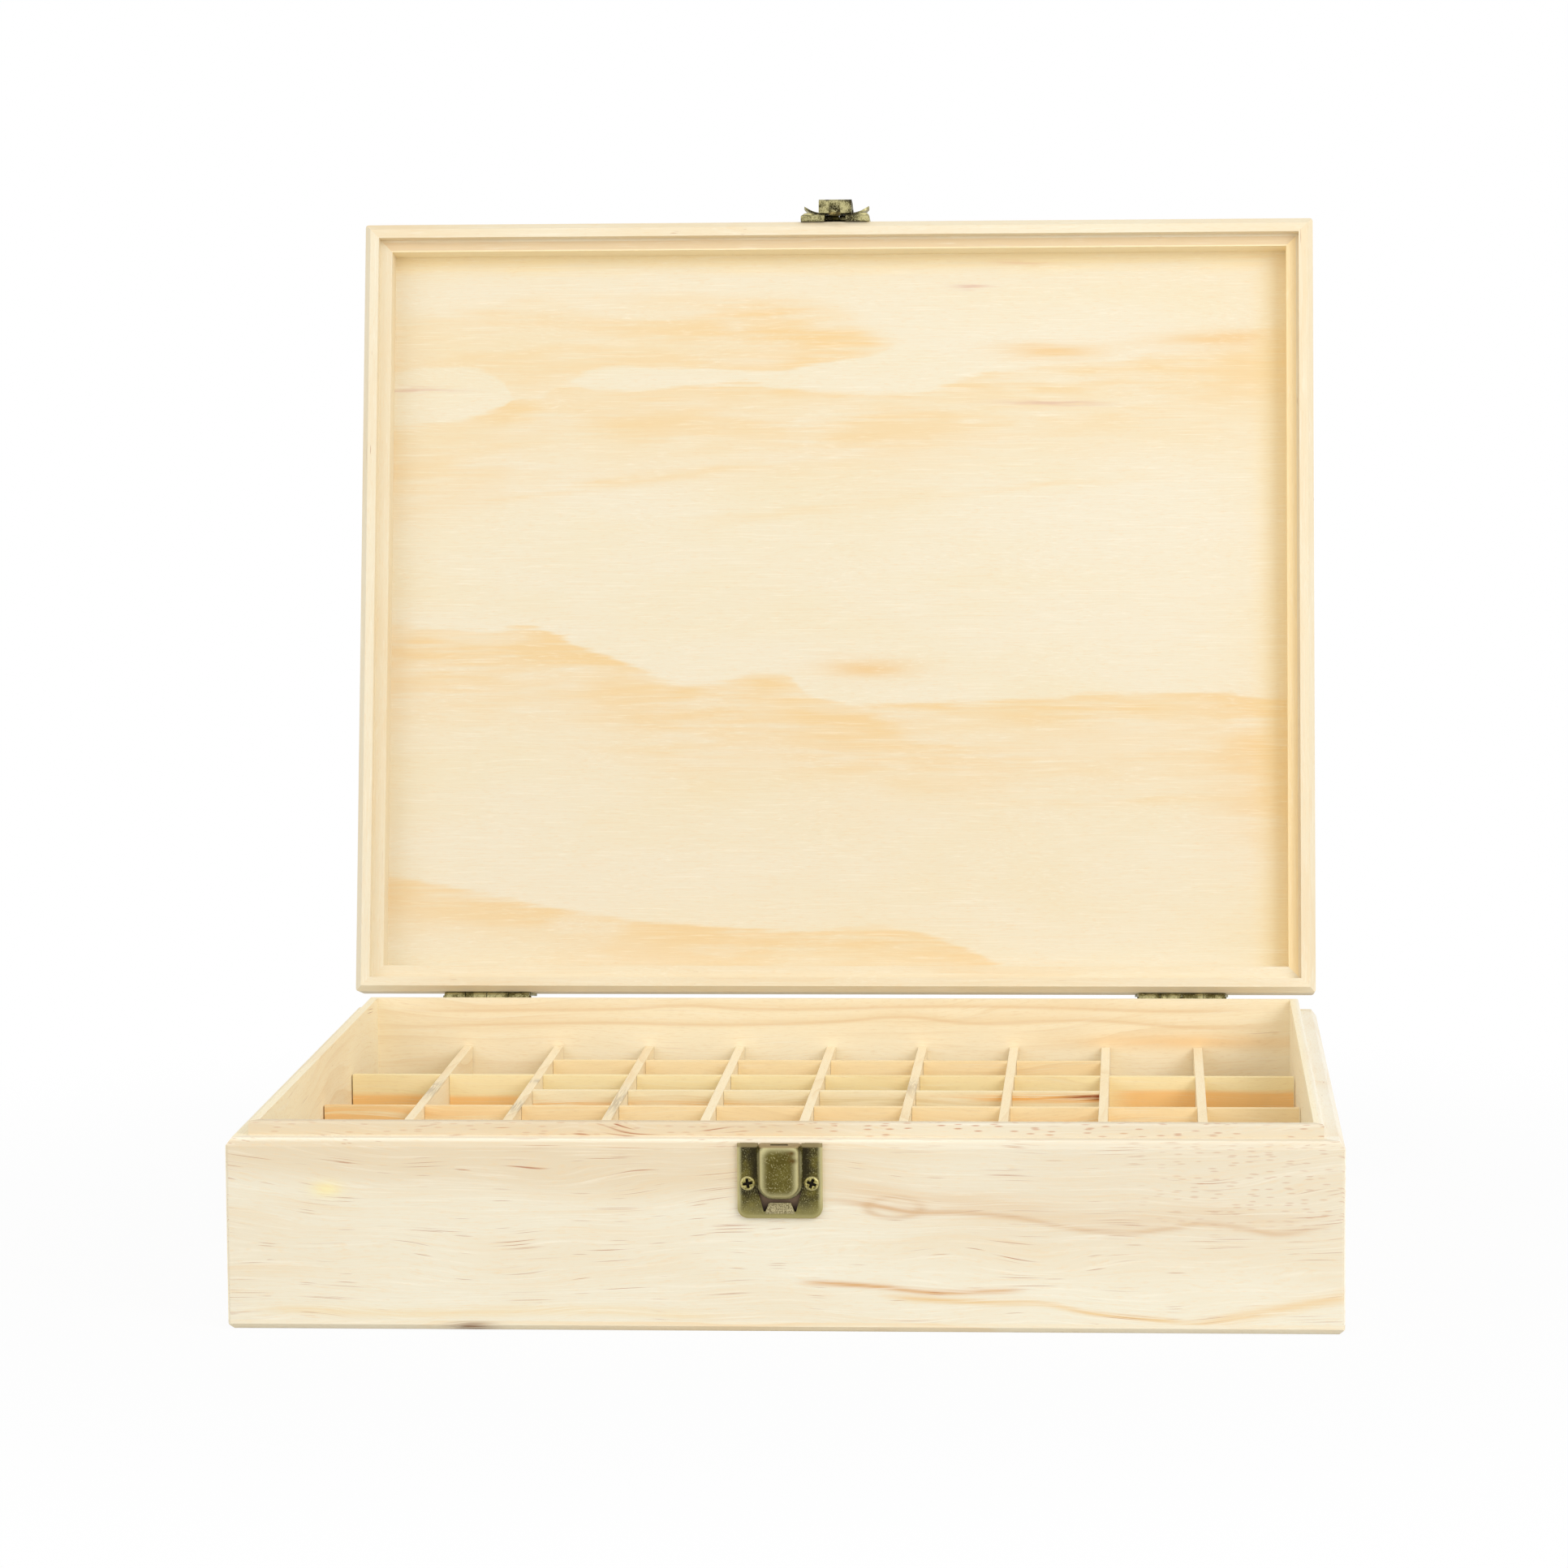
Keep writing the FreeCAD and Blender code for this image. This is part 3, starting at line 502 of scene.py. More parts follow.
def panel_marks(shader, colour, x, y, z, wander, fibre):
    """Tan late wood of the lid's rotary-cut panel, drawn over its inner width u and its inner height v.

    A tongue, three shelves that fade downwards from a drawn edge, small islands, wisps and pinkish streaks, and
    on the inner face a warmer rim of painted shade along the front and the right, next to the lid's walls.
    """
    half_width = (cad_high.x - board_inside) / MM
    half_height = (-front_face - board_inside) / MM
    place = shader.join(x, y, z)
    fine = shader.noise(place, (30.0, 6.0, 6.0), 4.0)
    torn = shader.noise(place, (34.0, 1.3, 1.3), 3.0)
    window = shader.smooth(shader.noise(place, (64.0, 13.0, 13.0)), 0.36, 0.56)
    u = (x + half_width) / (2 * half_width)
    v = (y + half_height) / (2 * half_height) + (fine - 0.5) * 0.02 + (torn - 0.5) * 0.016
    streaky = (0.25 + shader.smooth(fine * 0.6 + torn * 0.4, 0.3, 0.6) * 0.75) * (0.55 + window * 0.55)
    tongue_top = ((0, 0.07), (0.1, 0.05), (0.22, 0.035), (0.4, 0.04), (0.5, 0.06), (0.58, 0.112), (1, 0.112))
    tongue_foot = (
        (0, 0.165), (0.05, 0.158), (0.1, 0.163), (0.125, 0.18), (0.135, 0.197), (0.166, 0.197), (0.198, 0.176),
        (0.215, 0.167), (0.26, 0.161), (0.33, 0.16), (0.434, 0.165), (0.49, 0.152), (0.53, 0.143), (0.56, 0.13),
        (0.585, 0.113), (1, 0.112),
    )
    tongue = shader.smooth(below_edge(shader, u, v, tongue_top), 0.0, 0.05)
    tongue = tongue * (1.0 - shader.smooth(below_edge(shader, u, v, tongue_foot), -0.004, 0.004))
    tongue = tongue * (0.5 + shader.smooth(u, 0.15, 0.55) * 0.4)
    cap = streak(u, v, (0.74, 0.138), 0.055, 0.011) + streak(u, v, (0.93, 0.122), 0.08, 0.012, -0.05)
    isle = streak(u, v, (0.535, 0.583), 0.05, 0.013)
    colour = shader.blend(tongue * streaky, colour, srgb(235, 203, 148))
    colour = shader.blend((cap + isle).least(1.0) * 0.85, colour, srgb(232, 197, 142))
    wisps = (
        (0.14, 0.268, -0.18), (0.185, 0.334, -0.17), (0.32, 0.313, -0.14), (0.45, 0.365, -0.13), (0.45, 0.27, -0.1),
        (0.7, 0.33, -0.08), (0.62, 0.72, -0.04), (0.3, 0.7, 0.03), (0.8, 0.77, -0.03),
    )
    for across, down, slope in wisps:
        wisp = streak(u, v, (across, down), 0.12, 0.006, slope)
        colour = shader.blend(wisp * streaky * 0.4, colour, srgb(234, 204, 150))
    shelves = (
        (((0, 0.242), (0.05, 0.237), (0.1, 0.226), (0.125, 0.213), (0.135, 0.199), (0.166, 0.197), (0.198, 0.178),
          (0.22, 0.188), (0.242, 0.193), (0.284, 0.193), (0.332, 0.187), (0.41, 0.182), (0.44, 0.19), (0.5, 0.195),
          (0.58, 0.194), (0.68, 0.164), (0.8, 0.15), (1, 0.124)), 0.19, 0.72),
        (((0, 0.515), (0.1, 0.53), (0.16, 0.526), (0.22, 0.555), (0.3, 0.592), (0.36, 0.6), (0.43, 0.585),
          (0.48, 0.622), (0.6, 0.633), (0.8, 0.617), (1, 0.628)), 0.21, 0.8),
        (((0, 0.868), (0.1, 0.895), (0.28, 0.932), (0.45, 0.947), (0.56, 0.942), (0.64, 0.97), (0.7, 1), (1, 1)),
         0.12, 0.7),
    )
    for edge, fade, share in shelves:
        below = below_edge(shader, u, v, edge)
        shelf = shader.smooth(below, -0.003, 0.006) * (1.0 - shader.smooth(below, 0.01, fade))
        colour = shader.blend(shelf * streaky * share, colour, srgb(234, 202, 146))
    pinkish = ((0.02, 0.19, 0.045), (0.705, 0.012, 0.03), (0.65, 0.046, 0.02), (0.74, 0.212, 0.05))
    for across, down, reach in pinkish:
        colour = shader.blend(streak(u, v, (across, down), reach, 0.0035) * 0.6, colour, srgb(212, 170, 150))
    side = shader.smooth(u, 0.86, 1.0) * streak(u, v, (1.0, 0.74), 0.3, 0.1)
    colour = shader.blend(side * streaky * 0.7, colour, srgb(232, 198, 142))
    # Painted warm shade: a honey tint on the inner face near the front and right walls, standing in for their shade.
    inner_face = node_points("lid_panel", lid_shut)[:, 2].min() / MM
    rim = shader.smooth(u, 0.955, 1.0).most(shader.smooth(v, 0.035, 0.0))
    rim = rim * shader.smooth(z, inner_face + 1.0, inner_face + 0.3)
    return shader.blend(rim * 0.55, colour, srgb(252, 226, 164))


def rounded_depth(x, z, box, corner):
    """Distance in from the edge of a rounded rectangle, given as left, right, low and high."""
    left, right, low, high = box
    across = abs(x - (left + right) / 2) - ((right - left) / 2 - corner)
    up = abs(z - (low + high) / 2) - ((high - low) / 2 - corner)
    outer = (across.most(0.0) ** 2.0 + up.most(0.0) ** 2.0) ** 0.5
    return corner - outer - across.most(up).least(0.0)


def bronze(name, turn, seed, box=None, corner=3.0, face=None, marks=None, wear=0.0, reach=1.0):
    """Antique bronze: mottled dark patina, speckled, and worn bright in places or near the edge of an outline."""
    look = bpy.context.scene.box_bronze
    shader = Shader(bpy.data.materials.new(name))
    x, y, z = shader.split(shader.spot(turn))
    seeded = shader.join(x + FITTING_STEPS[0] * seed, y + FITTING_STEPS[1] * seed, z)
    cloud = shader.noise(seeded, CLOUD_SIZE, 3.0)
    grit = shader.noise(seeded, GRIT_SIZE)
    colour = shader.blend(shader.smooth(cloud, 0.35, 0.7), tuple(face or look.dark), tuple(look.olive))
    colour = shader.blend(shader.smooth(grit, 0.54, 0.72) * 0.45, colour, tuple(look.worn))
    colour = shader.blend(shader.smooth(grit, 0.42, 0.25) * 0.4, colour, srgb(38, 33, 18))
    edge = shader.smooth(cloud + grit * 0.5, 0.62, 0.9) * wear
    if box:
        depth = rounded_depth(x, z, box, corner) + (grit - 0.5) * 0.7
        rim = (1.0 - shader.smooth(depth, 0.1, reach * look.edge_width / MM)) ** reach
        edge = (edge + rim * shader.smooth(depth, -1.1, 0.0)).least(1.0)
    colour = shader.blend(edge * 0.9, colour, tuple(look.worn))
    if marks:
        colour = marks(shader, colour, x, y, z, grit)
    return shader.finish(colour, 0.36 + grit * 0.22, grit, depth=0.05, strength=0.6, metal=0.85, shine=0.5)


def catch_marks(shader, colour, x, y, z, grit):
    """Marks of the catch plate: paler at its foot, shaded beside the housing, a tan upper end and a speckled tab, both
    painted highlights.
    """
    aside = abs(x + 0.5)
    colour = shader.blend(shader.smooth(z, 42.5, 35.5) * 0.7, colour, srgb(156, 147, 92))
    beside = (1.0 - shader.smooth(aside, 7.5, 10.5)) * shader.smooth(z, 45.0, 49.0)
    colour = shader.blend(beside * 0.85, colour, srgb(40, 34, 16))
    # Painted highlight: the plate's upper end is painted tan where its rounded top edge catches the light.
    colour = shader.blend(shader.smooth(z, 56.9, 57.4) * 0.85, colour, srgb(150, 134, 94))
    # Painted highlight: the tab, which faces up, is painted pale over its real speckle.
    tab = (1.0 - shader.smooth(aside + (z - 37.4) * 0.42, 4.2, 4.5)) * shader.smooth(z, 36.4, 37.2)
    pale = shader.blend(shader.smooth(grit, 0.35, 0.65), srgb(120, 110, 78), srgb(182, 171, 132))
    return shader.blend(tab, colour, pale)


def housing_marks(shader, colour, x, y, z, grit):
    """Marks of the housing: two rust spots near its upper right corner, and a tan top that is a painted highlight."""
    rust = streak(x, z, (3.4, 56.0), 1.2, 0.8) + streak(x, z, (3.7, 53.6), 1.2, 0.8)
    colour = shader.blend(rust.least(1.0) * 0.9, colour, tuple(bpy.context.scene.box_bronze.rust))
    # Painted highlight: the housing's top is painted tan, standing in for light from above.
    return shader.blend(shader.smooth(z, 57.4, 57.8), colour, srgb(158, 138, 98))


def dress(node, material):
    """Give a CAD node one material."""
    slots = frame["nodes"][node].data.materials
    slots.clear()
    slots.append(material)


def piece(name, points, faces, material, body, smooth=True, values=None):
    """Make a mesh piece from arrays of points and faces, with named point values, riding on a body."""
    mesh = bpy.data.meshes.new(name)
    mesh.from_pydata(points.tolist(), [], faces)
    mesh.polygons.foreach_set("use_smooth", np.full(len(mesh.polygons), smooth))
    for key, numbers in (values or {}).items():
        mesh.attributes.new(key, "FLOAT", "POINT").data.foreach_set("value", numbers.astype(np.float32))
    mesh.materials.append(material)
    mesh.update()
    made = bpy.data.objects.new(name, mesh)
    bpy.context.scene.collection.objects.link(made)
    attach(made, body)
    return made


def grid_faces(rows, columns, closed=False):
    """Quads of a grid of rows by columns, with the last column joined to the first where it is closed."""
    row, column = np.meshgrid(np.arange(rows - 1), np.arange(columns if closed else columns - 1), indexing="ij")
    following = (column + 1) % columns
    corners = (row * columns + column, row * columns + following)
    upper = ((row + 1) * columns + following, (row + 1) * columns + column)
    return np.stack(corners + upper, axis=-1).reshape(-1, 4).tolist()


def node_points(node, turn):
    """A CAD node's points after a turn, one row each."""
    mesh = frame["nodes"][node].data
    flat = np.zeros(len(mesh.vertices) * 3, np.float32)
    mesh.vertices.foreach_get("co", flat)
    return moved(flat.reshape(-1, 3).astype(float), turn)


def moved(points, turn):
    """Points after a turn and a shift, both held in one matrix."""
    matrix = np.array(turn)
    return points @ matrix[:3, :3].T + matrix[:3, 3]


def screw_head(radius, height, recess_turn, count=45):
    """Round head over a square grid pressed into a disc: a low dome less a cross-shaped recess.

    The grid's u and v become u times the root of 1 - v*v/2, and v times the root of 1 - u*u/2. The dome is the
    edge's share of the height plus the rest times the root of 1 less the sixth power of the reach. The recess is a
    smooth step of the distance to two crossed bars.
    """
    bar_length, bar_width, sharpness = 0.6, 0.17, 14
    edge_share, recess_share = 0.35, 0.7
    bright_from, brightening = 0.74, 4
    line = np.linspace(-1.0, 1.0, count)
    u, v = np.meshgrid(line, line)
    x = u * np.sqrt(1 - v * v / 2)
    y = v * np.sqrt(1 - u * u / 2)
    reach = np.clip(np.sqrt(x * x + y * y), 0, 1)
    along = np.abs(x * math.cos(recess_turn) + y * math.sin(recess_turn))
    across = np.abs(y * math.cos(recess_turn) - x * math.sin(recess_turn))
    level = np.maximum(along / bar_length, across / bar_width)
    upright = np.maximum(across / bar_length, along / bar_width)
    recess = 1 / (1 + np.exp((np.minimum(level, upright) - 1) * sharpness))
    dome = height * (edge_share + (1 - edge_share) * np.sqrt(np.clip(1 - reach ** 6, 0, 1)))
    points = np.stack([x * radius, y * radius, dome - recess * height * recess_share], axis=-1).reshape(-1, 3)
    index = np.arange(count * count).reshape(count, count)
    rim = np.concatenate([index[0, :-1], index[:-1, -1], index[-1, :0:-1], index[:0:-1, 0]])
    foot = points[rim] * [1, 1, 0]
    start = len(points)
    following = np.roll(rim, -1)
    step = np.arange(len(rim))
    after = np.roll(step, -1)
    wall = np.stack([rim, start + step, start + after, following], axis=-1).tolist()
    faces = grid_faces(count, count) + wall + [(start + step[::-1]).tolist()]
    values = {
        "recess": np.concatenate([recess.ravel(), np.zeros(len(rim))]),
        "rim": np.concatenate([np.clip((reach.ravel() - bright_from) * brightening, 0, 1), np.ones(len(rim))]),
    }
    return np.concatenate([points, foot]), faces, values


def screw_row(node, turn, outward, body, metal):
    """Heads in place of a node's screws. Outward is -1 for the front face and 1 for the back face."""
    points = node_points(node, turn)
    low = points.min(axis=0)
    high = points.max(axis=0)
    radius = (high[2] - low[2]) / 2
    height = 1.2 * MM
    seat = (high[1] if outward > 0 else low[1]) - outward * height
    columns = np.sort(points[:, 0])
    groups = np.split(columns, np.flatnonzero(np.diff(columns) > radius) + 1)
    lying = Matrix.Rotation(math.radians(-90 * outward), 4, "X")
    recess_turns = np.radians([10.0, -20.0, 33.0, -8.0])
    parts = []
    for group, recess_turn in zip(groups, recess_turns):
        place = Vector(((group[0] + group[-1]) / 2, seat, (low[2] + high[2]) / 2))
        parts.append((screw_head(radius, height, recess_turn), turn.inverted() @ Matrix.Translation(place) @ lying))
    count = len(parts[0][0][0])
    points = np.concatenate([moved(head[0], move) for head, move in parts])
    faces = [[corner + number * count for corner in face] for number, part in enumerate(parts) for face in part[0][1]]
    values = {key: np.concatenate([head[2][key] for head, _ in parts]) for key in ("recess", "rim")}
    made = piece(node.replace("screws", "screw_heads"), points, faces, metal, body, values=values)
    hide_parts(node)


def pan(left, right, low, high, stand, corners, rounding, slot):
    """Pressed pan on the front face: a flared wall round a rounded outline, a quarter-round edge and a flat face.

    The first parameter runs round the outline and the second up the profile. A point lies on the rounded rectangle
    that is shrunk by the profile's inset, at the profile's stand. The upper side has no flare, shrinks by a third
    as much, and has a slot of the given width in three rows of its wall, below the quarter-round edge.
    """
    steps = 9
    slot_rows = (2, 3, 4)
    least_radius = 0.05 * MM
    flare = (-0.8, -0.8, -0.45, -0.15, 0)
    climb = np.array([0, 0.31, 0.37, 0.47, 0.62])
    quarter = np.radians(np.linspace(0, 90, 7))
    inset = rounding * np.concatenate([flare, 1 - np.cos(quarter)])
    rise = np.concatenate([stand * climb, stand - rounding * (1 - np.sin(quarter))])
    places = ((left, low, 1, 1), (right, low, -1, 1), (right, high, -1, -1), (left, high, 1, -1))
    rings = []
    for start, (side, level, across, up), corner in zip((180, 270, 0, 90), places, corners):
        angle = np.radians(start + np.linspace(0, 90, steps))[None]
        radius = np.maximum(corner - inset, least_radius)[:, None]
        shrink = inset if up > 0 else np.maximum(inset, 0) / 3
        x = side + across * (inset[:, None] + radius) + radius * np.cos(angle)
        z = level + up * (shrink[:, None] + radius) + radius * np.sin(angle)
        rings.append(np.stack([x, np.repeat(front_face - rise[:, None], steps, axis=1), z], axis=-1))
    slot_ends = np.repeat(rings[2][:, -1:], 2, axis=1)
    slot_ends[:, :, 0] = (left + right) / 2 + np.array([slot, -slot]) / 2
    points = np.concatenate(rings[:3] + [slot_ends] + rings[3:], axis=1)
    rows, columns = points.shape[:2]
    open_faces = {row * columns + 3 * steps for row in slot_rows}
    faces = [face for number, face in enumerate(grid_faces(rows, columns, True)) if number not in open_faces]
    front = list(range((rows - 1) * columns, rows * columns))
    return points.reshape(-1, 3), faces + [front, list(range(columns))[::-1]]


def hollow(left, right, low, high, stand, depth):
    """Shallow trough on the front face: its stand rises with the square of the way out from its middle."""
    rows, columns = 7, 13
    across, up = np.meshgrid(np.linspace(-1, 1, columns), np.linspace(0, 1, rows))
    x = (left + right) / 2 + across * (right - left) / 2
    y = front_face - stand - depth * across ** 2
    return np.stack([x, y, low + up * (high - low)], axis=-1).reshape(-1, 3), grid_faces(rows, columns)


def rib(left, right, foot, top, low, high):
    """Pressed rib on the front face, with closed ends and back.

    Over its height its stand is the foot plus the rest times the sine of half a turn, to a power that flattens it.
    """
    rows, flattening = 13, 0.6
    last = 2 * rows - 1
    up, x = np.meshgrid(np.linspace(0, 1, rows), [left, right], indexing="ij")
    y = front_face - foot - (top - foot) * np.clip(np.sin(np.pi * up), 0, 1) ** flattening
    points = np.stack([x, y, low + up * (high - low)], axis=-1).reshape(-1, 3)
    ends = [list(range(0, last, 2)), list(range(last, 0, -2)), [0, last - 1, last, 1]]
    return points, grid_faces(rows, 2) + ends


def screw_metal(name):
    """Brass screw: speckled, bright at its rim, black in the recess."""
    look = bpy.context.scene.box_bronze
    shader = Shader(bpy.data.materials.new(name))
    recess = shader.node("ShaderNodeAttribute", {"attribute_name": "recess"}, {}, "Fac")
    rim = shader.node("ShaderNodeAttribute", {"attribute_name": "rim"}, {}, "Fac")
    grit = shader.noise(shader.spot(as_built), (0.5, 0.5, 0.5))
    colour = shader.blend(shader.smooth(grit, 0.3, 0.7), tuple(look.olive), srgb(186, 175, 112))
    colour = shader.blend(rim * 0.7, colour, srgb(222, 213, 160))
    colour = shader.blend(shader.smooth(recess, 0.15, 0.7), colour, srgb(30, 24, 12))
    return shader.finish(colour, 0.32 + grit * 0.2, grit, depth=0.03, strength=0.4, metal=0.85, shine=0.5)


class BOX_OT_boards(bpy.types.Operator):
    """Dress the tray's and the lid's boards in pine with the grain along each board"""

    bl_idname = "box.boards"
    bl_label = "Boards"

    def execute(self, context):
        look = context.scene.box_pine
        # Painted light on the lid's inner sides: warm tan and honey shade in the rebates, and cream bounce light on the
        # front board's downward inner face.
        rebate_shade_tan = srgb(228, 205, 166)
        rebate_shade_honey = srgb(248, 224, 174)
        inner_bounce_cream = srgb(252, 236, 196)
        # Painted warm bounce light: the right board's shaded inner side takes the warmer inside tone.
        right_bounce_light = painted_inner_light(cad_high.x, (look.inner_pale, LIP_REACH, 3.0))
        # A finish is a pale and a warm tone, the shares of rings and of flecks, and the marks.
        tray_finish = {
            "front": (look.pale, look.warm, 0.25, 0.36, front_marks),
            "back": (srgb(253, 241, 209), srgb(249, 231, 193), 0.4, 0.06, back_marks),
            "left": (look.inner_pale, look.inner_warm, 0.4, 0.06),
            "right": (srgb(251, 246, 231), srgb(248, 237, 213), 0.4, 0.06, right_bounce_light),
        }
        lid_finish = (srgb(237, 225, 197), srgb(234, 213, 173), 0.35, 0.05)
        # The front and right lid boards carry painted warm shade in the rebate; the front's inner face carries painted
        # bounce light.
        lid_light_marks = {
            "front": painted_inner_light(-front_face, (rebate_shade_tan, LIP_REACH, 0.1), (inner_bounce_cream, 0.7, 0.6)),
            "right": painted_inner_light(cad_high.x, (rebate_shade_honey, LIP_REACH, 0.1)),
        }
        for number, (side, finish) in enumerate(tray_finish.items()):
            turn = side_grain if side in ("left", "right") else as_built
            dress("tray_" + side + "_wall", pine("tray pine " + side, turn, 1.0 + number, *finish))
            lid = pine("lid pine " + side, turn @ lid_shut, 7.0 + number, *lid_finish, lid_light_marks.get(side))
            dress("lid_" + side + "_wall", lid)
        return {"FINISHED"}


class BOX_OT_panels(bpy.types.Operator):
    """Dress the lid's panel and the tray's bottom in rotary-cut veneer"""

    bl_idname = "box.panels"
    bl_label = "Panels"

    def execute(self, context):
        pale = srgb(234, 224, 200)
        warm = srgb(233, 220, 188)
        lid_veneer = pine(
            "lid veneer", lid_shut, 20.0, pale, warm, ring_share=0.0, fleck_share=0.004, marks=panel_marks, patchy=0.8,
        )
        dress("lid_panel", lid_veneer)
        knot = stained((((-95.0, 0.6), 6.5, 1.8, 0.9, srgb(132, 90, 58)),))
        bottom_veneer = pine("bottom veneer", as_built, 21.0, pale, warm, ring_share=0.5, fleck_share=0.03, marks=knot)
        dress("tray_bottom", bottom_veneer)
        return {"FINISHED"}


class BOX_OT_dividers(bpy.types.Operator):
    """Dress each divider in its own thin pine, from pale cream to yellow and orange"""

    bl_idname = "box.dividers"
    bl_label = "Dividers"

    def execute(self, context):
        plain = (srgb(255, 241, 208), srgb(251, 231, 190))
        tones = {
            "short_divider_1": (srgb(254, 231, 182), srgb(250, 220, 166)),
            "full_divider_1": (srgb(255, 238, 188), srgb(250, 226, 164)),
            "short_divider_2": (srgb(252, 238, 200), srgb(244, 226, 178)),
            "full_divider_2": (srgb(255, 232, 184), srgb(252, 220, 164)),
        }
        orange = srgb(248, 188, 108)
        grey = srgb(172, 160, 140)

        def greyed(strength, *spans):
            """Grey stains on a divider's upper edge, each given as its middle and reach along the grain."""
            stains = tuple(((middle, UPPER_EDGE + 0.5), reach, 3.0, strength, grey) for middle, reach in spans)
            return stained(stains, UPPER_EDGE)

        stains = {
            "full_divider_1": yellow_marks,
            "short_divider_2": stained((
                ((-85.0, 41.5), 22.0, 1.4, 0.9, orange), ((-40.0, 42.0), 26.0, 1.2, 0.7, orange),
                ((10.0, 43.0), 50.0, 1.5, 0.4, srgb(212, 186, 116)), ((80.0, 44.2), 26.0, 1.3, 1.6, orange),
                ((97.0, 44.6), 12.0, 0.8, 2.0, srgb(150, 64, 22)),
            )),
            "full_divider_2": stained((
                ((-150.0, 42.0), 50.0, 5.0, 0.6, orange), ((90.0, 42.0), 40.0, 2.0, 0.3, orange),
            )),
            "cross_divider_1": greyed(0.6, (34.0, 17.0)),
            "cross_divider_2": greyed(0.6, (51.0, 4.0), (-1.0, 12.0)),
            "cross_divider_3": greyed(0.6, (9.0, 26.0)),
            "cross_divider_6": greyed(0.5, (40.0, 14.0)),
        }
        nodes = [node for node in frame["nodes"] if "divider" in node]
        for number, node in enumerate(sorted(nodes)):
            turn = side_grain if node.startswith("cross") else as_built
            tone = tones.get(node, plain)
            marks = stains.get(node)
            wood = pine(node + " pine", turn, 30.0 + number, *tone, ring_share=0.5, fleck_share=0.02, marks=marks)
            dress(node, wood)
        return {"FINISHED"}


class BOX_OT_hinges(bpy.types.Operator):
    """Dress the hinges' leaves and pins in worn bronze"""

    bl_idname = "box.hinges"
    bl_label = "Hinges"

    def execute(self, context):
        metal = bronze("hinge bronze", as_built, 3.0, face=srgb(84, 76, 36), wear=0.7)
        for side in ("left", "right"):
            for part in ("tray_leaf_", "lid_leaf_", "pin_"):
                dress("hinge_" + part + side, metal)
        return {"FINISHED"}


class BOX_OT_latch(bpy.types.Operator):
    """Dress the catch and the hasp in antique bronze, with a rounded housing and the hasp's ribs"""

    bl_idname = "box.latch"
    bl_label = "Latch"

    def execute(self, context):
        low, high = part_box("catch_plate")
        unworn_top = 3.0
        box = (low.x / MM, high.x / MM, low.z / MM, high.z / MM + unworn_top)
        dress("catch_plate", bronze("catch plate bronze", as_built, 5.0, box, corner=3.2, marks=catch_marks))
        self.housing()
        for node in ("hasp_plate", "hasp_lever", "hasp_pin", "hasp_spring"):
            dress(node, bronze(node + " bronze", lid_shut, 8.0, wear=0.8))
        self.pin_ribs()
        return {"FINISHED"}

    def pin_ribs(self):
        """Ribs of the hasp's plate: two carry its pin beside the spring, and a lower one lies below the spring."""
        pin = node_points("hasp_pin", lid_shut)
        spring = node_points("hasp_spring", lid_shut)
        lug, plate = 1.8 * MM, 1.4 * MM
        play, seat_gap = 0.15 * MM, 0.05 * MM
        below_pin, above_pin = 0.3 * MM, 0.1 * MM
        middle_top, middle_height = 3.05 * MM, 1.2 * MM
        left, right = spring[:, 0].min() - play, spring[:, 0].max() + play
        top = front_face - pin[:, 1].max() - seat_gap
        low, high = pin[:, 2].min() - below_pin, pin[:, 2].max() + above_pin
        end = spring[:, 2].min() - play
        metal = bronze("rib bronze", lid_shut, 9.0)
        ribs = {
            "hasp_rib_left": rib(pin[:, 0].min() + lug, left, plate, top, low, high),
            "hasp_rib_right": rib(right, pin[:, 0].max() - lug, plate, top, low, high),
            "hasp_rib_middle": rib(left, right, plate, middle_top, end - middle_height, end),
        }
        for name, (points, faces) in ribs.items():
            piece(name, moved(points, lid_open), faces, metal, "lid", smooth=False)

    def housing(self):
        """Rounded pan with the tongue's dark slot in its top, in place of the plain housing, and a dark sheet of
        painted shade behind it.
        """
        flange, foot_gap, overlap = 1.4 * MM, 0.5 * MM, 0.6 * MM
        foot_corner, top_corner = 4.0, 0.7
        low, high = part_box("catch_housing")
        left = low.x + flange
        right = high.x - flange
        stand = front_face - low.y
        box = (left / MM, right / MM, low.z / MM, high.z / MM)
        face = srgb(88, 78, 28)
        metal = bronze("housing bronze", as_built, 6.0, box, foot_corner, face, housing_marks, reach=2.0)
        corners = np.array([foot_corner, foot_corner, top_corner, top_corner]) * MM
        points, faces = pan(left, right, low.z + foot_gap, high.z, stand, corners, rounding=1.3 * MM, slot=5.4 * MM)
        made = piece("catch_pan", points, faces, metal, "tray")
        made.modifiers.new("sheet", "SOLIDIFY").thickness = 0.25 * MM
        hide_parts("catch_housing")
        # A dark trough behind the housing's opening: painted shade standing in for the cavity's shadow, not a real
        # part.
        foot, top = low.z - 5.4 * MM, low.z + 2.0 * MM
        points, faces = hollow(left - overlap, right + overlap, foot, top, stand=0.2 * MM, depth=0.5 * MM)
        made = piece("catch_shade_sheet", points, faces, self.shade("painted cavity shade"), "tray")
        made.modifiers.new("sheet", "SOLIDIFY").thickness = 0.15 * MM

    def shade(self, name):
        """Painted shade for the catch's cavity: dull brown metal that darkens downwards."""
        shader = Shader(bpy.data.materials.new(name))
        z = shader.split(shader.spot(as_built))[2]
        colour = shader.blend(shader.smooth(z, 37.5, 42.0), srgb(48, 36, 28), srgb(122, 100, 80))
        return shader.finish(colour, 0.6, shine=0.2)


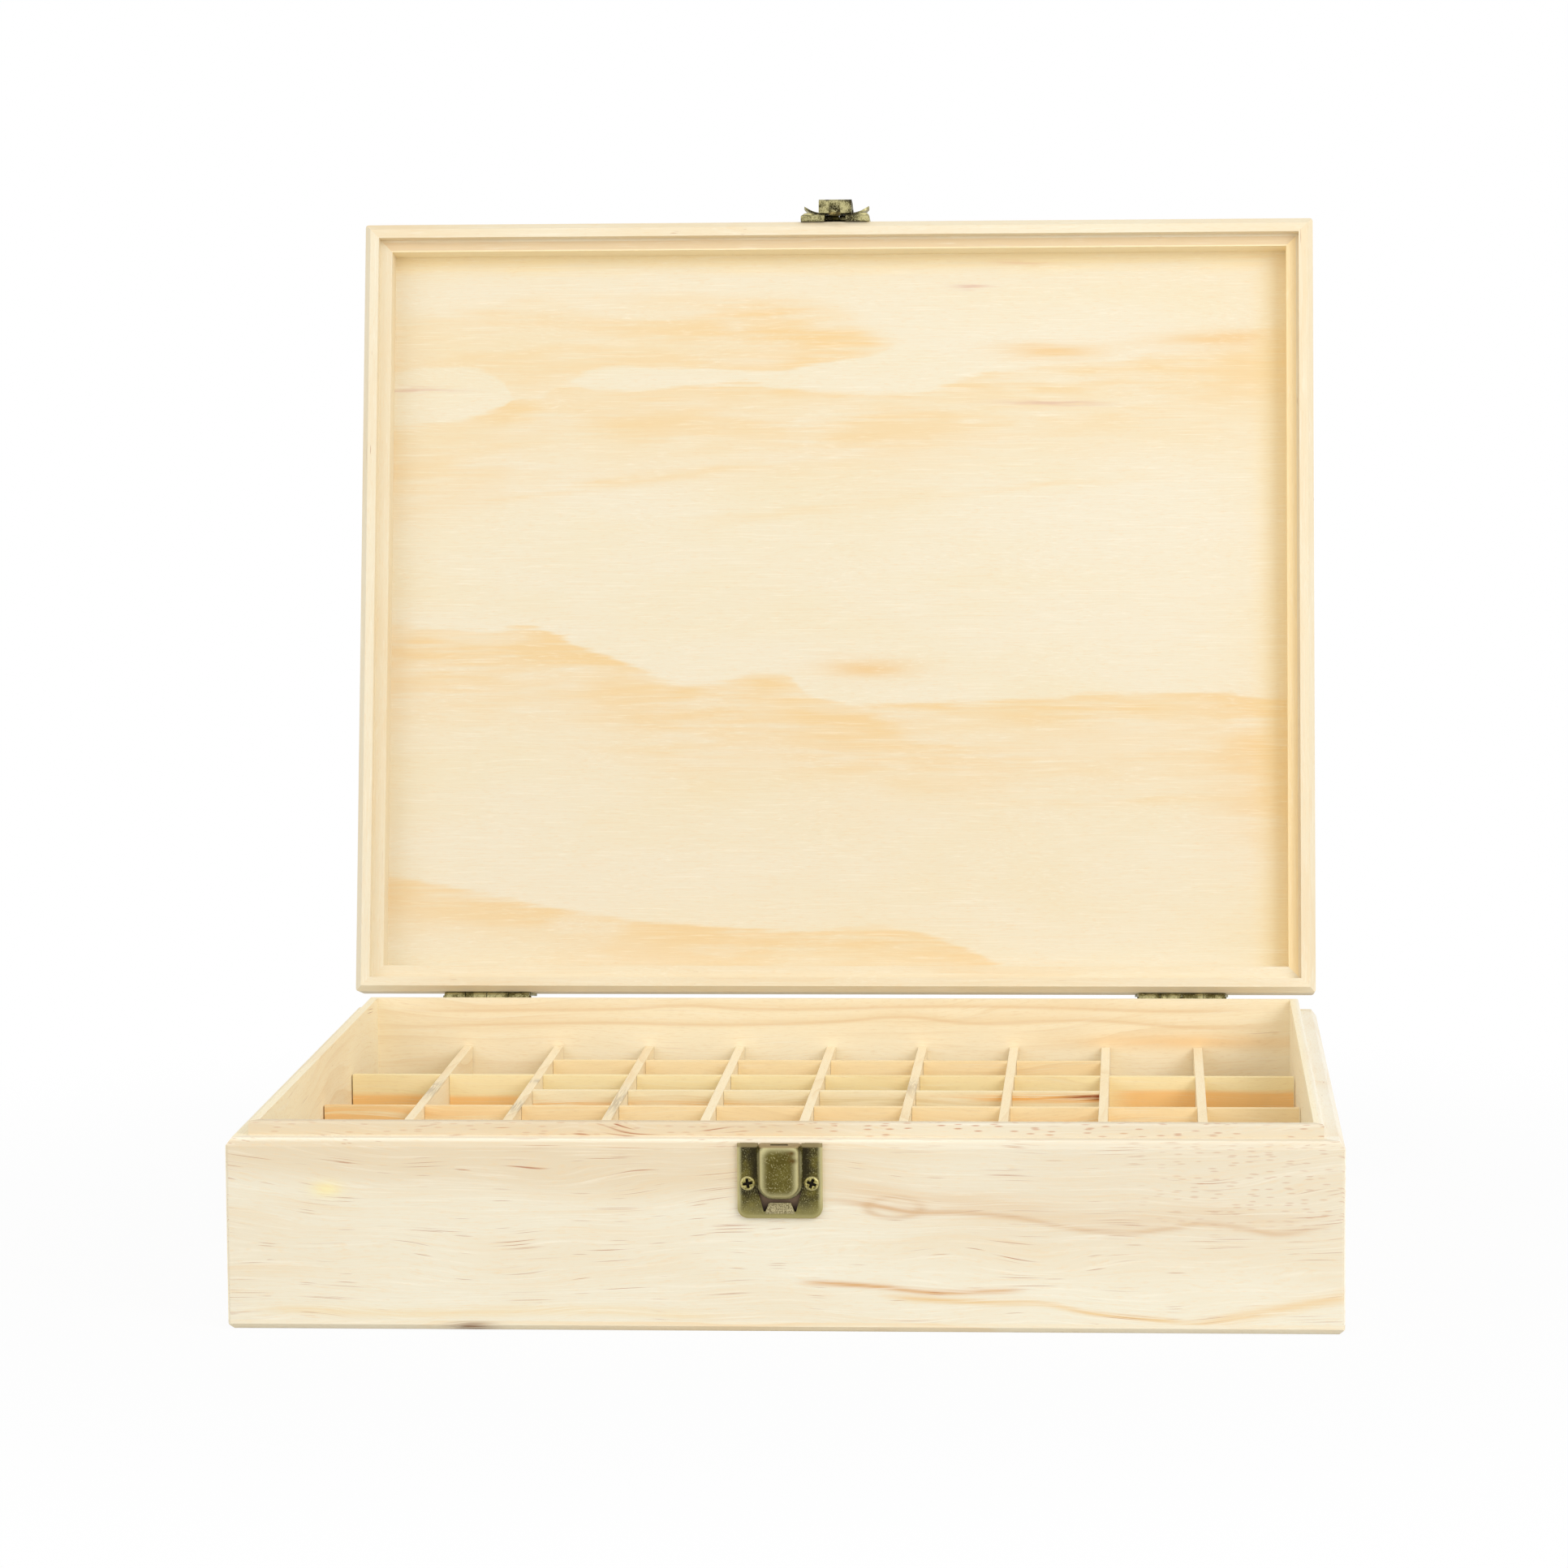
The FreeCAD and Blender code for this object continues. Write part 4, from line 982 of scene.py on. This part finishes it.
class BOX_OT_screws(bpy.types.Operator):
    """Put round cross-recessed heads in place of the plain screws"""

    bl_idname = "box.screws"
    bl_label = "Screws"

    def execute(self, context):
        metal = screw_metal("screw brass")
        screw_row("catch_screws", as_built, -1, "tray", metal)
        screw_row("hinge_tray_screws", as_built, 1, "tray", metal)
        screw_row("hasp_screws", lid_shut, -1, "lid", metal)
        screw_row("hinge_lid_screws", lid_shut, 1, "lid", metal)
        return {"FINISHED"}


class BOX_OT_stage(bpy.types.Operator):
    """Set up the pale floor, the white surroundings, the soft lamps and the camera"""

    bl_idname = "box.stage"
    bl_label = "Stage"

    def execute(self, context):
        look = context.scene.box_stage
        self.floor()
        self.surroundings(context.scene, look)
        middle = (cad_low + cad_high) / 2
        self.lamp("key lamp", (1.1, -1.25, 1.0), middle, size=1.0, power=look.key_power)
        self.lamp("fill lamp", (-1.1, -1.1, 0.8), middle, size=1.2, power=look.fill_power)
        self.camera(context.scene, look)
        context.scene.view_settings.view_transform = "Standard"
        return {"FINISHED"}

    def floor(self):
        """Wide flat sheet that the camera sees almost white, with the box's shadow left in it."""
        reach = 6.0
        level = -0.05 * MM
        near, far = 230.0, 520.0
        near_white, paper_grey = 0.94, 0.76
        corners = [(-reach, -reach, level), (reach, -reach, level), (reach, reach, level), (-reach, reach, level)]
        mesh = bpy.data.meshes.new("floor")
        mesh.from_pydata(corners, [], [(0, 1, 2, 3)])
        shader = Shader(bpy.data.materials.new("floor white"))
        x, y = shader.split(shader.spot(as_built))[:2]
        away = shader.smooth((x * x + y * y) ** 0.5, near, far)
        seen = self.seen(shader) * (near_white + away * (1 - near_white))
        paper = shader.node("ShaderNodeBsdfDiffuse", {}, {"Color": (paper_grey, paper_grey, paper_grey, 1)})
        white = shader.node("ShaderNodeEmission", {}, {"Color": (1, 1, 1, 1), "Strength": 1.0})
        mesh.materials.append(shader.show(shader.node("ShaderNodeMixShader", {}, {0: seen, 1: paper, 2: white})))
        made = bpy.data.objects.new("floor", mesh)
        bpy.context.scene.collection.objects.link(made)

    def seen(self, shader):
        """One for rays that show the surroundings: from the camera, in gloss and through glass."""
        camera = shader.node("ShaderNodeLightPath", {}, {}, "Is Camera Ray")
        return (camera + camera.other("Is Glossy Ray") + camera.other("Is Transmission Ray")).least(1.0)

    def surroundings(self, scene, look):
        """White where it is seen, and elsewhere a soft light that is stronger from the front and from below."""
        scene.world = bpy.data.worlds.new("surroundings")
        shader = Shader(scene.world)
        even, front, below = 1.06, 0.2, 0.36
        y, z = shader.split(shader.node("ShaderNodeTexCoord", {}, {}, "Generated"))[1:]
        soft = (even - y * front - z * below) * look.ambient
        strength = soft + self.seen(shader) * (1.0 - soft)
        light = shader.node("ShaderNodeBackground", {}, {"Color": (1, 1, 1, 1), "Strength": strength})
        shader.show(light, "ShaderNodeOutputWorld")

    def lamp(self, name, place, target, size, power):
        """Square soft lamp that faces the box."""
        data = bpy.data.lights.new(name, "AREA")
        data.energy = power
        data.size = size
        made = bpy.data.objects.new(name, data)
        made.location = place
        made.rotation_euler = (target - Vector(place)).to_track_quat("-Z", "Y").to_euler()
        bpy.context.scene.collection.objects.link(made)

    def camera(self, scene, look):
        """Camera from its place, yaw, pitch and roll."""
        data = bpy.data.cameras.new("camera")
        data.sensor_width = 36.0
        data.lens = look.lens
        made = bpy.data.objects.new("camera", data)
        aim = Matrix.Rotation(-look.yaw, 4, "Z") @ Matrix.Rotation(math.pi / 2 - look.pitch, 4, "X")
        made.matrix_world = Matrix.Translation(look.place) @ aim @ Matrix.Rotation(look.roll, 4, "Z")
        scene.collection.objects.link(made)
        scene.camera = made


OPERATORS = (
    BOX_OT_stage, BOX_OT_boards, BOX_OT_panels, BOX_OT_dividers, BOX_OT_hinges, BOX_OT_latch, BOX_OT_screws,
)


class BOX_PT_looks(bpy.types.Panel):
    """Sidebar panel that lists the steps"""

    bl_label = "Art Supply Box"
    bl_space_type = "VIEW_3D"
    bl_region_type = "UI"
    bl_category = "Art Box"

    def draw(self, context):
        for operator in OPERATORS:
            self.layout.operator(operator.bl_idname)


CLASSES = (PineLook, BronzeLook, StageLook, *OPERATORS, BOX_PT_looks)


def register():
    for each in CLASSES:
        bpy.utils.register_class(each)
    bpy.types.Scene.box_pine = PointerProperty(type=PineLook)
    bpy.types.Scene.box_bronze = PointerProperty(type=BronzeLook)
    bpy.types.Scene.box_stage = PointerProperty(type=StageLook)


def unregister():
    del bpy.types.Scene.box_pine
    del bpy.types.Scene.box_bronze
    del bpy.types.Scene.box_stage
    for each in reversed(CLASSES):
        bpy.utils.unregister_class(each)


def main():
    register()
    bpy.ops.box.stage()
    bpy.ops.box.boards()
    bpy.ops.box.panels()
    bpy.ops.box.dividers()
    bpy.ops.box.hinges()
    bpy.ops.box.latch()
    bpy.ops.box.screws()


if __name__ == "__main__":
    main()
